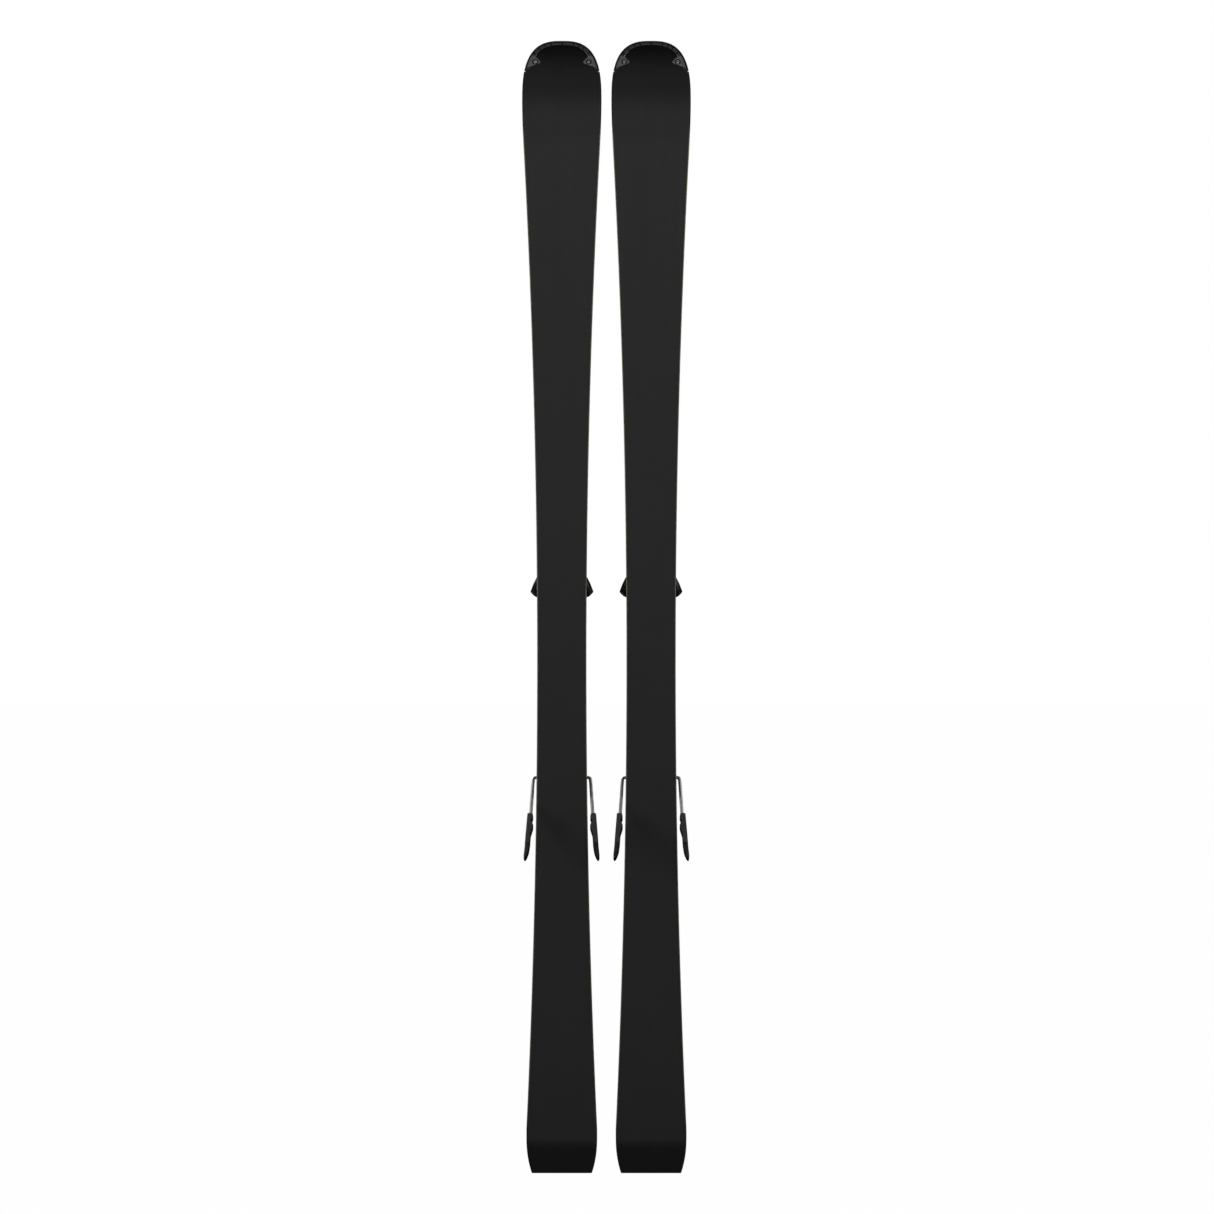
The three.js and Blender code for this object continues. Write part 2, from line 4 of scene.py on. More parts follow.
import bmesh
import bpy
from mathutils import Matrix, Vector


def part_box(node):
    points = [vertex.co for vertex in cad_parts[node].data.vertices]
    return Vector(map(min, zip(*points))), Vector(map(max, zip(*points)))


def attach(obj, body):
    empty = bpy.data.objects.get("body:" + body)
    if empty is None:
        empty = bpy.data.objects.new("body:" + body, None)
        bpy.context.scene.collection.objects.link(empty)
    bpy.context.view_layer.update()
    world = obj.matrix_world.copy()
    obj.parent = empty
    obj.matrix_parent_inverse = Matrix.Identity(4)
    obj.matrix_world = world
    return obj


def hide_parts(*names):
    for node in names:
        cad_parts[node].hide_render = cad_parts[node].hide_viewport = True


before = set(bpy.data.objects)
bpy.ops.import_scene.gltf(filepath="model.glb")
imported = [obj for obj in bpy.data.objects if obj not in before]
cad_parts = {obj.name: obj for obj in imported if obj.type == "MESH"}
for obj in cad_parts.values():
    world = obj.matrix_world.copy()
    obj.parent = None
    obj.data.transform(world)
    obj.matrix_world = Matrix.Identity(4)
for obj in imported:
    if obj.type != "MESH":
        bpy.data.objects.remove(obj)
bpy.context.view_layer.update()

bl_info = {
    "name": "Alpine skis with bindings",
    "version": (1, 0, 0),
    "blender": (4, 5, 0),
    "location": "View3D > Sidebar > Skis",
    "description": "Builds the fine pieces and finishes of a pair of skis round their frame",
    "category": "Object",
}

MM = 0.001
SIDES = (("left", -1), ("right", 1))
FINISH = {}

# Meshing: welding distance in metres, crease angle in degrees, and steps.
WELD = 1e-7
CREASE = 40
COIL_SIDES = 8
COIL_STEPS = 20
DOME_STEPS = 34
DOME_POWER = 3.2
BEND_STEP = 2.5
STRAIGHT_STEP = 15
LUG_STEP = 0.5
TIP_STEPS = 56


def node_mm(name):
    """Lowest and highest corner of a node, in millimetres."""
    return [[value / MM for value in corner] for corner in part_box(name)]


# The ski's outline and profile, in millimetres: X across, Y through the ski, Z along it.
SKI_X = sum(corner[0] for corner in node_mm("right_topsheet")) / 2
LENGTH = node_mm("right_tip_guard")[1][2]
WAIST_Z = 750
WAIST_HALF = 36
FRONT_ARC = 14150
REAR_ARC = 14900
SHOVEL_Z = 1568
SHOVEL_HALF = 58.04
FRONT_ARC_END = 1505
FRONT_ARC_EASE = 1.7
TAIL_WIDE_Z = 54
TAIL_FINE_Z = 62
TAIL_HALF = 51.7
TAIL_DROP = 7.8
TAIL_POWER = 2.3
TIP_POWER = 2.8
FLAT_HALF = 215
CAMBER = 4
TIP_BEND_Z = 1524
TIP_RADIUS = 234
TAIL_BEND_Z = 50
TAIL_STRAIGHT_Z = 35
TAIL_RADIUS = 60
MIDDLE_THICK = 13.5
SHOVEL_THICK = 5.2
TAIL_THICK = 7
SHOVEL_THINNING = 520
TAIL_THINNING = 470
TIP_TOP_Z = LENGTH + 0.5

# Layers of the laminate and the tip guard round them, in millimetres, with turns in radians.
JOINT_GAP = 0.3
BASE_THICK = 1.3
EDGE_WIDE = 2.1
EDGE_TALL = 2
SIDEWALL_WIDE = 5.3
SIDEWALL_BEVEL = 1.6
TOPSHEET_THICK = 1.1
RIM_BAND = 6.5
RIM_ROLL = 2.4
TAIL_LIP_Z = 1.5
TAIL_CAP_Z = 12
EDGE_END_Z = 1611
# Inner side of a lug, as (Z, distance from the middle line).
LUG_SIDE = [(1615.8, 54.2), (1622.6, 35.4), (1623.6, 32.9), (1624.6, 31.6), (1625.6, 31.2), (1626.8, 31.8),
            (1632.2, 37.0), (1633.4, 38.6), (1634.2, 40.1)]
LUG_LOW, LUG_HIGH = -0.42, SHOVEL_THICK + 0.45
RIVET = (39.2, 1625.9)
BAND_LINE_FROM = 36
BAND_END = math.radians(71.3)
LUG_TURN = math.radians(5)
BAND_NOTCHES = (-46, -40.5, -33, -25, -16, 0.5, 17.5, 25.5, 32, 39.5, 45.5)
# Faces of a band section that take the grey face finish. The others stay black, and on the rolled rim that
# black is partly painted shade.
BAND_FACES = (0, 1, 2, 3, 4, 14)
NOTCH_CUT = (-0.016, -0.013, 0.013, 0.016)
NOTCH_TURN = 0.014
# Turn round each notch's middle within which the band's faces are painted black: painted shade in the notch.
NOTCH_SHADE_TURN = 0.0155

# Places on the binding, in millimetres: pivots are (Y, Z), the toe's is (X, Z).
RAIL_TOP = node_mm("right_rear_rail")[1][1]
RAIL_HALF = 30
RAIL_ENDS = {"rear": (415, 677), "front": (804, 964)}
SCREW_ROWS = {"rear": (431, 662), "front": (955.2,)}
SCREW_COLUMNS = (-21, 21)
TOE_PIVOT = (24, 876)
HEEL_PIN = (36, 512)
LEVER_PIVOT = (84, 508)
BRAKE_PIVOT = (27.2, 578.5)
BRAKE_TILT = math.radians(38)
PEDAL_HINGE = (29, 642)
PEDAL_ANGLE = math.radians(22)
LATCH_PIVOT = (27.2, 464)
TOE_BORE_Y = 48.5
HEEL_BORE_Y = 62
PIN_HOLE = 3.8
CUT_REACH = 40

# Toe piece: height and half width of the crown along Z, then the wings' outlines as (X, Z).
TOE_CROWN = [(862, 75.5), (868, 79.5), (876, 82), (890, 82.5), (905, 81.4), (920, 78.2), (934, 72.6),
             (942, 67.4), (946, 64.4)]
TOE_SPREAD = [(862, 31.6), (866, 32.8), (880, 33), (893, 31.8), (906, 29.6), (920, 25.8), (932, 21),
              (941, 16.2), (946, 12.4)]
WING_LOW, WING_HIGH = 35.4, 62
WING_CREASE = 24
WING_LINE = [(36.6, 872.5), (41.6, 862.5), (46.2, 850.6), (45.1, 848.6), (42.7, 846), (40, 843.6),
             (36.5, 842), (33.5, 843), (31, 849), (26.5, 858), (20.5, 868.5)]
WING_LIP = [(35.6, 846.5), (31.6, 849.4), (27.2, 858), (23.4, 863.4), (17, 859), (25, 846)]
WING_BEAD = [(36.4, 846.9), (39.4, 846.2), (41.8, 848.2), (43.0, 850.2)]

# Heel piece: side views as (Y, Z).
SLED_ROOT = 23.2
BEARING_LINE = [(SLED_ROOT, 568.5), (30, 571.5), (31.2, 574), (31.2, 583), (30, 585.5), (SLED_ROOT, 588.5)]
POST_LINE = [(SLED_ROOT, 636), (32.2, 638), (32.5, 641), (32.2, 647), (29, 649.6), (SLED_ROOT, 649.8)]
HEEL_BODY = [(44, 492), (60, 485), (74, 485), (80, 496), (94, 519), (94, 548), (76, 556), (40, 556),
             (36, 548), (31, 528)]
HEEL_CUP = [(46, 534), (40, 556), (64, 556), (64, 567), (76, 567), (90, 554), (94, 536), (70, 526)]
BADGE_LINE = [(57, 541), (60, 552), (73, 555), (83, 547), (84, 537), (70, 533)]
LEVER_CHEEK = [(108, 492), (104, 478), (80, 499)]
LEVER_TONGUE = [(97.5, 508), (128, 480), (131, 470), (124, 466), (96, 490)]

# Brake: distances out from the middle line and along the arm from its pivot.
ARM_START, ARM_END = (42.3, 9.0), (48.3, 100.0)
PAD_START, PAD_END = 53.9, 117.2
PAD_INNER = [(53.9, 43.1), (56.1, 42.0), (59.1, 41.6), (62.1, 42.6), (65, 44.0), (68, 42.7), (71.4, 41.4),
             (76.8, 42.7), (83.7, 44.8), (92.1, 45.5), (100.5, 46.4), (107.4, 47.6), (112.3, 49.5),
             (115.7, 51.2), (117.2, 52.2)]
PAD_OUTER = [(53.9, 50.1), (71.5, 51.6), (83.6, 52.6), (100.5, 53.9), (109.3, 54.9), (113.3, 55.2),
             (115.7, 54.9), (117.2, 54.5)]
PAD_HALF = 6.5
PAD_STEP = (95.5, 98.0)
PAD_LEAN = 0.42
TREAD_LINE = [(-21, 7.8), (21, 7.8), (25, 22), (25, 57.5), (-25, 57.5), (-25, 22)]

# Painted shade on the base towards the tip: how its tone and gloss fall off, as (metres along the ski,
# share).
BASE_PAINTED_TIP_SHADE = ((1.5, 0.98), (1.543, 0.8), (1.572, 0.7), (1.586, 0.69), (1.6, 0.84), (1.615, 0.88),
               (1.629, 0.71), (1.637, 0.53), (1.644, 0.39), (1.658, 0.3))
BASE_SPECULAR = 0.34
# Bands of the topsheet's print, as (start and end in metres, finish colour).
PRINT_BANDS = ((1.22, 1.30, "grey"), (1.312, 1.324, "accent"), (1.335, 1.338, "grey"), (1.54, 1.56, "grey"),
               (0.22, 0.27, "grey"), (0.198, 0.208, "accent"), (0.186, 0.189, "grey"), (1.0, 1.003, "accent"))
BLACK = (0, 0, 0, 1)
WHITE = (1, 1, 1, 1)


def ease(t):
    """Smooth rise from 0 to 1."""
    t = min(1.0, max(0.0, t))
    return t * t * (3 - 2 * t)


def tip_half_width(z, inset):
    """Half width along the rounded tip."""
    t = min(1.0, max(0.0, (z - SHOVEL_Z) / (TIP_TOP_Z - SHOVEL_Z - inset)))
    return (SHOVEL_HALF - inset) * (1 - t ** TIP_POWER) ** (1 / TIP_POWER)


def half_width(z, inset):
    """Distance of the edge from the middle line, drawn in by an inset."""
    if z >= SHOVEL_Z:
        return tip_half_width(z, inset)
    if z >= FRONT_ARC_END:
        start = WAIST_HALF + (FRONT_ARC_END - WAIST_Z) ** 2 / (2 * FRONT_ARC)
        t = (SHOVEL_Z - z) / (SHOVEL_Z - FRONT_ARC_END)
        return SHOVEL_HALF - (SHOVEL_HALF - start) * t ** FRONT_ARC_EASE - inset
    if z >= WAIST_Z:
        return WAIST_HALF + (z - WAIST_Z) ** 2 / (2 * FRONT_ARC) - inset
    if z >= TAIL_WIDE_Z:
        return min(TAIL_HALF, WAIST_HALF + (WAIST_Z - z) ** 2 / (2 * REAR_ARC)) - inset
    return TAIL_HALF - TAIL_DROP * ((TAIL_WIDE_Z - z) / TAIL_WIDE_Z) ** TAIL_POWER - inset


def base_height(z):
    """Height of the running surface: flat under the binding, cambered, turned up at both ends."""
    reach = (TIP_BEND_Z - WAIST_Z if z > WAIST_Z else WAIST_Z - TAIL_BEND_Z) - FLAT_HALF
    y = -CAMBER * ease((abs(z - WAIST_Z) - FLAT_HALF) / reach)
    if z > TIP_BEND_Z:
        y += TIP_RADIUS - math.sqrt(TIP_RADIUS ** 2 - (z - TIP_BEND_Z) ** 2)
    if z < TAIL_BEND_Z:
        run = TAIL_BEND_Z - max(z, TAIL_STRAIGHT_Z)
        fall = math.sqrt(TAIL_RADIUS ** 2 - run ** 2)
        y += TAIL_RADIUS - fall + max(0, TAIL_STRAIGHT_Z - z) * run / fall
    return y


def depth_at(z, deep):
    """Height of a point that is deep millimetres into the ski from its base."""
    slope = base_height(z + 0.5) - base_height(z - 0.5)
    return base_height(z) + deep * math.hypot(1, slope)


def thickness(z):
    """Thickness of the ski: full under the binding, thinner towards both ends."""
    front = ease((z - WAIST_Z - FLAT_HALF) / SHOVEL_THINNING)
    rear = ease((WAIST_Z - FLAT_HALF - z) / TAIL_THINNING)
    return MIDDLE_THICK - (MIDDLE_THICK - SHOVEL_THICK) * front - (MIDDLE_THICK - TAIL_THICK) * rear


def level_at(pairs, place):
    """Straight-line value at a place, from (place, value) pairs in order."""
    for (a, low), (b, high) in zip(pairs, pairs[1:]):
        if place <= b:
            return low + (high - low) * max(0.0, place - a) / (b - a)
    return pairs[-1][1]


def flowing(pairs, place):
    """Smooth value at a place, through (place, value) pairs in order."""
    places = [pair[0] for pair in pairs]
    values = [pair[1] for pair in pairs]
    last = len(pairs) - 1
    i = max(0, min(last - 1, sum(place >= p for p in places) - 1))

    def slope(k):
        before, after = max(0, k - 1), min(last, k + 1)
        return (values[after] - values[before]) / (places[after] - places[before])

    span = places[i + 1] - places[i]
    t = min(1.0, max(0.0, (place - places[i]) / span))
    lift = (values[i + 1] - values[i]) * t * t * (3 - 2 * t)
    return values[i] + lift + span * (slope(i) * t * (1 - t) ** 2 - slope(i + 1) * t * t * (1 - t))


def laminate_half(z, inset):
    """Half width of base and topsheet, which give way to the guard's lugs and band."""
    if z < LUG_SIDE[0][0]:
        return half_width(z, inset)
    if z < LUG_SIDE[-1][0]:
        return min(half_width(z, inset), level_at(LUG_SIDE, z) - JOINT_GAP)
    return half_width(z, RIM_BAND + JOINT_GAP)


def stations(start, end, top_inset=0.0):
    """Places of the sections: close together in the bends, further apart along the straight."""
    marks, z = [], start
    while z < min(end, SHOVEL_Z):
        marks.append(z)
        z += BEND_STEP if z < TAIL_FINE_Z or z > FRONT_ARC_END else STRAIGHT_STEP
    if end > SHOVEL_Z:
        height = TIP_TOP_Z - SHOVEL_Z - top_inset
        for i in range(TIP_STEPS + 1):
            z = SHOVEL_Z + height * math.sin(math.pi / 2 * i / TIP_STEPS) ** (2 / TIP_POWER)
            if z < end:
                marks.append(z)
    marks.append(end)
    return marks


# Mesh helpers. Points are in millimetres, in the ski's own frame with X = 0 at its middle line.

def smoothed(piece, crease=CREASE):
    """Shades the piece smooth but for edges sharper than crease degrees."""
    mesh = piece.data
    mesh.polygons.foreach_set("use_smooth", [True] * len(mesh.polygons))
    mesh.set_sharp_from_angle(angle=math.radians(crease))
    return piece


def face_outward(mesh, weld=0.0):
    """Joins points closer than weld metres and turns every face outward."""
    work = bmesh.new()
    work.from_mesh(mesh)
    if weld:
        bmesh.ops.remove_doubles(work, verts=work.verts, dist=weld)
    bmesh.ops.recalc_face_normals(work, faces=work.faces)
    work.to_mesh(mesh)
    work.free()


def skinned(rings, crease=CREASE):
    """A closed skin over rings of equally many points, with flat ends."""
    count = len(rings[0])
    points = [Vector(p) * MM for ring in rings for p in ring]
    faces = []
    for i in range(len(rings) - 1):
        for j in range(count):
            a, b = i * count + j, i * count + (j + 1) % count
            faces.append((a, b, b + count, a + count))
    faces.append(tuple(range(count))[::-1])
    faces.append(tuple(range(len(points) - count, len(points))))
    mesh = bpy.data.meshes.new("piece")
    mesh.from_pydata(points, [], faces)
    face_outward(mesh, WELD)
    piece = bpy.data.objects.new("piece", mesh)
    bpy.context.collection.objects.link(piece)
    return smoothed(piece, crease)


def full_turn(count):
    """Angles all the way round, without the last one."""
    return [2 * math.pi * k / count for k in range(count)]


def arc(centre, radius, start, sweep, steps):
    """Points on part of a circle, with its angles in degrees."""
    turns = [math.radians(start + sweep * k / steps) for k in range(steps + 1)]
    return [(centre[0] + radius * math.cos(a), centre[1] + radius * math.sin(a)) for a in turns]


def oblong(x, z):
    """Corners of a rectangle between two pairs of limits."""
    return [(x[0], z[0]), (x[1], z[0]), (x[1], z[1]), (x[0], z[1])]


def rounded_corner(before, corner, after, radius, share, steps):
    """The curve that takes a corner's place, over at most a share of each side."""
    corner = Vector(corner)
    back, ahead = Vector(before) - corner, Vector(after) - corner
    reach = min(radius, share * back.length, share * ahead.length)
    start = corner + back.normalized() * reach
    end = corner + ahead.normalized() * reach
    return [start * (1 - t) ** 2 + corner * 2 * t * (1 - t) + end * t * t
            for t in (k / steps for k in range(steps + 1))]


def filleted(outline, radius, steps=5):
    """A closed outline with its corners rounded off."""
    rounded = []
    for i, corner in enumerate(outline):
        after = outline[(i + 1) % len(outline)]
        rounded += rounded_corner(outline[i - 1], corner, after, radius, 0.45, steps)
    return rounded


def bent(points, radius, steps):
    """An open path whose corners are rounded to a bend."""
    path = [Vector(points[0])]
    for before, corner, after in zip(points, points[1:], points[2:]):
        path += rounded_corner(before, corner, after, radius, 0.48, steps)
    return path + [Vector(points[-1])]


def drawn_in(outline, distance):
    """A closed outline moved inwards by a small distance."""
    area = sum(a[0] * b[1] - b[0] * a[1] for a, b in zip(outline, outline[1:] + outline[:1]))
    turn = 1 if area > 0 else -1
    moved = []
    for i, point in enumerate(outline):
        along = Vector(outline[(i + 1) % len(outline)]) - Vector(outline[i - 1])
        along.normalize()
        moved.append(Vector(point) + Vector((-along[1], along[0])) * turn * distance)
    return moved


def in_plan(point, level):
    """Places an outline's point seen from above the binding."""
    return (point[0], level, point[1])


def in_profile(point, level):
    """Places an outline's point seen from the side of the ski."""
    return (level, point[0], point[1])


def stacked(outline, levels, place=in_plan, crease=CREASE):
    """A solid through copies of an outline: levels are (drawn in by, height)."""
    rings = [[place(p, height) for p in drawn_in(outline, inset)] for inset, height in levels]
    return skinned(rings, crease)


def slab(outline, low, high, edge=0.8, place=in_plan, steps=3):
    """An extruded outline whose rims are rounded over."""
    turns = [math.pi / 2 * k / steps for k in range(steps + 1)]
    rise = [(edge * (1 - math.sin(a)), edge * (1 - math.cos(a))) for a in turns]
    levels = [(inset, low + up) for inset, up in rise]
    levels += [(inset, high - up) for inset, up in rise[::-1]]
    return stacked(outline, levels, place)


def side_plates(outline, inner, outer, edge):
    """Two upright plates, one each side, between two distances from the middle line."""
    return [slab(outline, *sorted((side * inner, side * outer)), edge, in_profile) for side in (-1, 1)]


def box(x, y, z, edge=0.5, corner=1.0):
    """A block between limits in X, Y and Z, with rounded rims and corners."""
    return slab(filleted(oblong(x, z), corner), y[0], y[1], edge)


def turned(profile, centre, axis, sides=32):
    """A turned solid: profile points are (along, radius) from the centre, on the given axis."""
    spin = Vector((0, 0, 1)).rotation_difference(Vector(axis).normalized())
    rings = []
    for along, radius in profile:
        local = [Vector((radius * math.cos(a), radius * math.sin(a), along)) for a in full_turn(sides)]
        rings.append([Vector(centre) + spin @ p for p in local])
    return skinned(rings)


def rod(start, end, radius, edge=0.3, sides=24):
    """A round bar between two points, with bevelled ends."""
    length = (Vector(end) - Vector(start)).length
    profile = [(0, radius - edge), (edge, radius), (length - edge, radius), (length, radius - edge)]
    return turned(profile, start, Vector(end) - Vector(start), sides)


def cross_rod(place, half, radius, edge=0.1, sides=24):
    """A rod across the ski, centred on a place given as (Y, Z)."""
    return rod((-half, *place), (half, *place), radius, edge, sides)


def swept(path, radius, sides):
    """A round bar along a path of points."""
    path = [Vector(p) for p in path]
    last = len(path) - 1
    ahead = [(path[min(i + 1, last)] - path[max(i - 1, 0)]).normalized() for i in range(len(path))]
    side = ahead[0].orthogonal().normalized()
    rings = []
    for i, point in enumerate(path):
        if i:
            side = ahead[i - 1].rotation_difference(ahead[i]) @ side
        other = ahead[i].cross(side)
        rings.append([point + (side * math.cos(a) + other * math.sin(a)) * radius for a in full_turn(sides)])
    return skinned(rings)


def coil(centre, radius, wire, turns, length):
    """A compression spring along Z with closed ends."""
    steps = turns * COIL_STEPS
    path = []
    for i in range(steps + 1):
        share = i / steps
        angle = 2 * math.pi * turns * share
        along = wire + (length - 2 * wire) * share
        path.append((centre[0] + radius * math.cos(angle), centre[1] + radius * math.sin(angle),
                     centre[2] + along))
    return swept(path, wire, COIL_SIDES)


def merged(*pieces):
    """Several meshes as one object. Faces keep their finish numbers."""
    first = pieces[0]
    work = bmesh.new()
    for piece in pieces:
        work.from_mesh(piece.data)
    work.to_mesh(first.data)
    work.free()
    for piece in pieces[1:]:
        bpy.data.objects.remove(piece)
    return smoothed(first)


def combined(piece, tools, operation="DIFFERENCE"):
    """The piece after a boolean with each tool, which is used up."""
    for tool in tools:
        cut = piece.modifiers.new("cut", "BOOLEAN")
        cut.operation = operation
        cut.solver = "EXACT"
        cut.object = tool
    bpy.context.view_layer.update()
    solid = piece.evaluated_get(bpy.context.evaluated_depsgraph_get())
    piece.data = bpy.data.meshes.new_from_object(solid)
    piece.modifiers.clear()
    for tool in tools:
        bpy.data.objects.remove(tool)
    face_outward(piece.data)
    return smoothed(piece)


def fit_pair(piece, name, body, slot, *nodes):
    """Puts the piece on both skis, riding on the body and standing for the nodes named."""
    for prefix, side in SIDES:
        copy = piece if side < 0 else bpy.data.objects.new(f"{prefix}_{name}", piece.data)
        if side > 0:
            bpy.context.collection.objects.link(copy)
        copy.name = f"{prefix}_{name}"
        copy.location.x = side * SKI_X * MM
        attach(copy, f"{prefix}_{body}")
        if nodes:
            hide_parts(*[f"{prefix}_{node}" for node in nodes])


def finish_with(piece, *names):
    """Gives the piece its finishes. Faces keep their finish numbers."""
    numbers = [face.material_index for face in piece.data.polygons]
    piece.data.materials.clear()
    for name in names:
        piece.data.materials.append(FINISH[name])
    piece.data.polygons.foreach_set("material_index", numbers)
    return piece


def paint_faces(piece, number, test=lambda centre, normal: True):
    """Faces whose middle passes the test, in millimetres, take that finish number."""
    for face in piece.data.polygons:
        if test(face.center / MM, face.normal):
            face.material_index = number
    return piece


# Node groups: effects that several finishes share.

class Nodes:
    """Short calls for building a node tree."""

    def __init__(self, tree):
        self.tree = tree

    def feed(self, socket, value):
        """Links another node's output to the socket, or sets its plain value."""
        if isinstance(value, bpy.types.NodeSocket):
            self.tree.links.new(value, socket)
        else:
            socket.default_value = value

    def add(self, kind, inputs=None, **settings):
        node = self.tree.nodes.new(kind)
        for key, value in settings.items():
            setattr(node, key, value)
        for key, value in (inputs or {}).items():
            self.feed(node.inputs[key], value)
        return node

    def math(self, operation, a, b=0.0, c=0.0):
        return self.add("ShaderNodeMath", {0: a, 1: b, 2: c}, operation=operation).outputs[0]

    def ramp(self, value, low, high, to_low=0.0, to_high=1.0):
        """Clamped straight-line change of a value between two limits."""
        inputs = {"Value": value, "From Min": low, "From Max": high, "To Min": to_low, "To Max": to_high}
        return self.add("ShaderNodeMapRange", inputs).outputs["Result"]

    def between(self, value, low, high, blur, end_blur=None):
        """Mask of values from low to high, with blurred ends."""
        rise = self.ramp(value, low, low + blur)
        return self.math("MULTIPLY", rise, self.ramp(value, high, high + (end_blur or blur), 1.0, 0.0))

    def curve(self, value, pairs):
        """Straight-line value through (input, output) pairs."""
        low, high = pairs[0][0], pairs[-1][0]
        node = self.add("ShaderNodeValToRGB", {"Fac": self.ramp(value, low, high)})
        stops = node.color_ramp.elements
        for i, (place, level) in enumerate(pairs):
            share = (place - low) / (high - low)
            stop = stops.new(share) if 0 < i < len(pairs) - 1 else stops[0 if i == 0 else -1]
            stop.position = share
            stop.color = (level, level, level, 1)
        return node.outputs["Color"]

    def mix(self, share, a, b):
        """Colour a where share is 0 and colour b where it is 1."""
        return self.add("ShaderNodeMix", {0: share, 6: a, 7: b}, data_type="RGBA").outputs[2]

    def noise(self, vector, scale, detail=2.0, rough=0.5):
        inputs = {"Vector": vector, "Scale": scale, "Detail": detail, "Roughness": rough}
        return self.add("ShaderNodeTexNoise", inputs).outputs["Fac"]

    def place(self):
        return self.add("ShaderNodeTexCoord").outputs["Object"]

    def split(self):
        """X, Y and Z of the place."""
        return self.add("ShaderNodeSeparateXYZ", {0: self.place()}).outputs

    def stretch(self, vector, scale):
        return self.add("ShaderNodeVectorMath", {0: vector, 1: scale}, operation="MULTIPLY").outputs[0]


def effect(name, inputs, outputs, build):
    """A shared effect as a node group. Inputs are (name, kind, default)."""
    group = bpy.data.node_groups.new(name, "ShaderNodeTree")
    for label, kind, default in inputs:
        socket = group.interface.new_socket(label, in_out="INPUT", socket_type=kind)
        socket.default_value = default
    for label, kind in outputs:
        group.interface.new_socket(label, in_out="OUTPUT", socket_type=kind)
    nodes = Nodes(group)
    given = nodes.add("NodeGroupInput").outputs
    end = nodes.add("NodeGroupOutput")
    for label, value in build(nodes, given).items():
        group.links.new(value, end.inputs[label])


def moulded_grain(nodes, given):
    """Fine pitted skin of an injection-moulded part, with slow changes of gloss."""
    place = nodes.place()
    cells = nodes.add("ShaderNodeTexVoronoi", {"Vector": place, "Scale": given["Grain Scale"]})
    fine = cells.outputs["Distance"]
    soft = nodes.noise(place, given["Grain Scale"], 3.0)
    height = nodes.math("MULTIPLY_ADD", fine, 0.6, soft)
    return {"Height": height, "Tone": nodes.noise(place, given["Tone Scale"], 3.0, 0.6)}


def drawn_lines(nodes, given):
    """Fine parallel lines of grinding, drawing or brushing."""
    along = nodes.stretch(nodes.place(), given["Stretch"])
    lines = nodes.noise(along, given["Line Scale"], 4.0, 0.65)
    broad = nodes.noise(along, nodes.math("MULTIPLY", given["Line Scale"], 0.12), 2.0)
    tone = nodes.math("MULTIPLY_ADD", broad, 0.5, nodes.math("MULTIPLY", lines, 0.5))
    return {"Height": lines, "Tone": tone}


def edge_wear(nodes, given):
    """Mask of rubbed rims: strong where the surface turns outward, broken up by noise."""
    rims = nodes.ramp(given["Pointiness"], 0.5, 0.62)
    patches = nodes.ramp(nodes.noise(nodes.place(), given["Patch Scale"], 4.0, 0.7), 0.42, 0.62)
    worn = nodes.math("MULTIPLY", nodes.math("MULTIPLY", rims, patches), given["Amount"])
    return {"Mask": nodes.ramp(worn, 0.0, 1.0)}


def light_scuffs(nodes, given):
    """Mask of scattered hairline scuffs, most of them along the ski."""
    along = nodes.stretch(nodes.place(), given["Stretch"])
    bend = nodes.add("ShaderNodeTexNoise", {"Vector": nodes.place(), "Scale": 18.0}).outputs["Color"]
    bent_place = nodes.add("ShaderNodeVectorMath", {0: bend, 1: (0.9, 0.9, 0.9), 2: along},
                           operation="MULTIPLY_ADD")
    lines = nodes.noise(bent_place.outputs[0], given["Scuff Scale"], 2.0, 0.4)
    thin = nodes.ramp(nodes.math("ABSOLUTE", nodes.math("SUBTRACT", lines, 0.5)), 0.005, 0.0)
    where = nodes.ramp(nodes.noise(nodes.place(), 9.0, 2.0), 0.5, 0.68)
    return {"Mask": nodes.math("MULTIPLY", thin, where)}


FLOAT, VECTOR = "NodeSocketFloat", "NodeSocketVector"


def make_effects():
    """The shared effects, each with its inputs' defaults and its outputs."""
    effect("moulded_grain", [("Grain Scale", FLOAT, 2200.0), ("Tone Scale", FLOAT, 60.0)],
           [("Height", FLOAT), ("Tone", FLOAT)], moulded_grain)
    effect("drawn_lines", [("Stretch", VECTOR, (1, 1, 0.02)), ("Line Scale", FLOAT, 900.0)],
           [("Height", FLOAT), ("Tone", FLOAT)], drawn_lines)
    effect("edge_wear", [("Pointiness", FLOAT, 0.5), ("Amount", FLOAT, 1.0), ("Patch Scale", FLOAT, 160.0)],
           [("Mask", FLOAT)], edge_wear)
    effect("light_scuffs", [("Stretch", VECTOR, (1, 1, 0.05)), ("Scuff Scale", FLOAT, 40.0)],
           [("Mask", FLOAT)], light_scuffs)


def placed(nodes, name, **values):
    """An effect placed in a finish, with its own values."""
    node = nodes.add("ShaderNodeGroup", node_tree=bpy.data.node_groups[name])
    for label, value in values.items():
        nodes.feed(node.inputs[label.replace("_", " ").title()], value)
    return node.outputs


# Finishes.

def start_finish(name, **sockets):
    """A new material: its node helper and its Principled BSDF with plain socket values."""
    material = bpy.data.materials.new(name)
    material.use_nodes = True
    nodes = Nodes(material.node_tree)
    shader = material.node_tree.nodes["Principled BSDF"]
    for label, value in sockets.items():
        shader.inputs[label.replace("_", " ").title().replace("Ior", "IOR")].default_value = value
    return material, nodes, shader


def bump(nodes, shader, height, strength, distance):
    """Fine relief, with its distance in millimetres."""
    node = nodes.add("ShaderNodeBump", {"Height": height, "Strength": strength, "Distance": distance * MM})
    nodes.tree.links.new(node.outputs["Normal"], shader.inputs["Normal"])


def link(nodes, value, shader, label):
    """Links a value to one of the shader's sockets."""
    nodes.tree.links.new(value, shader.inputs[label])


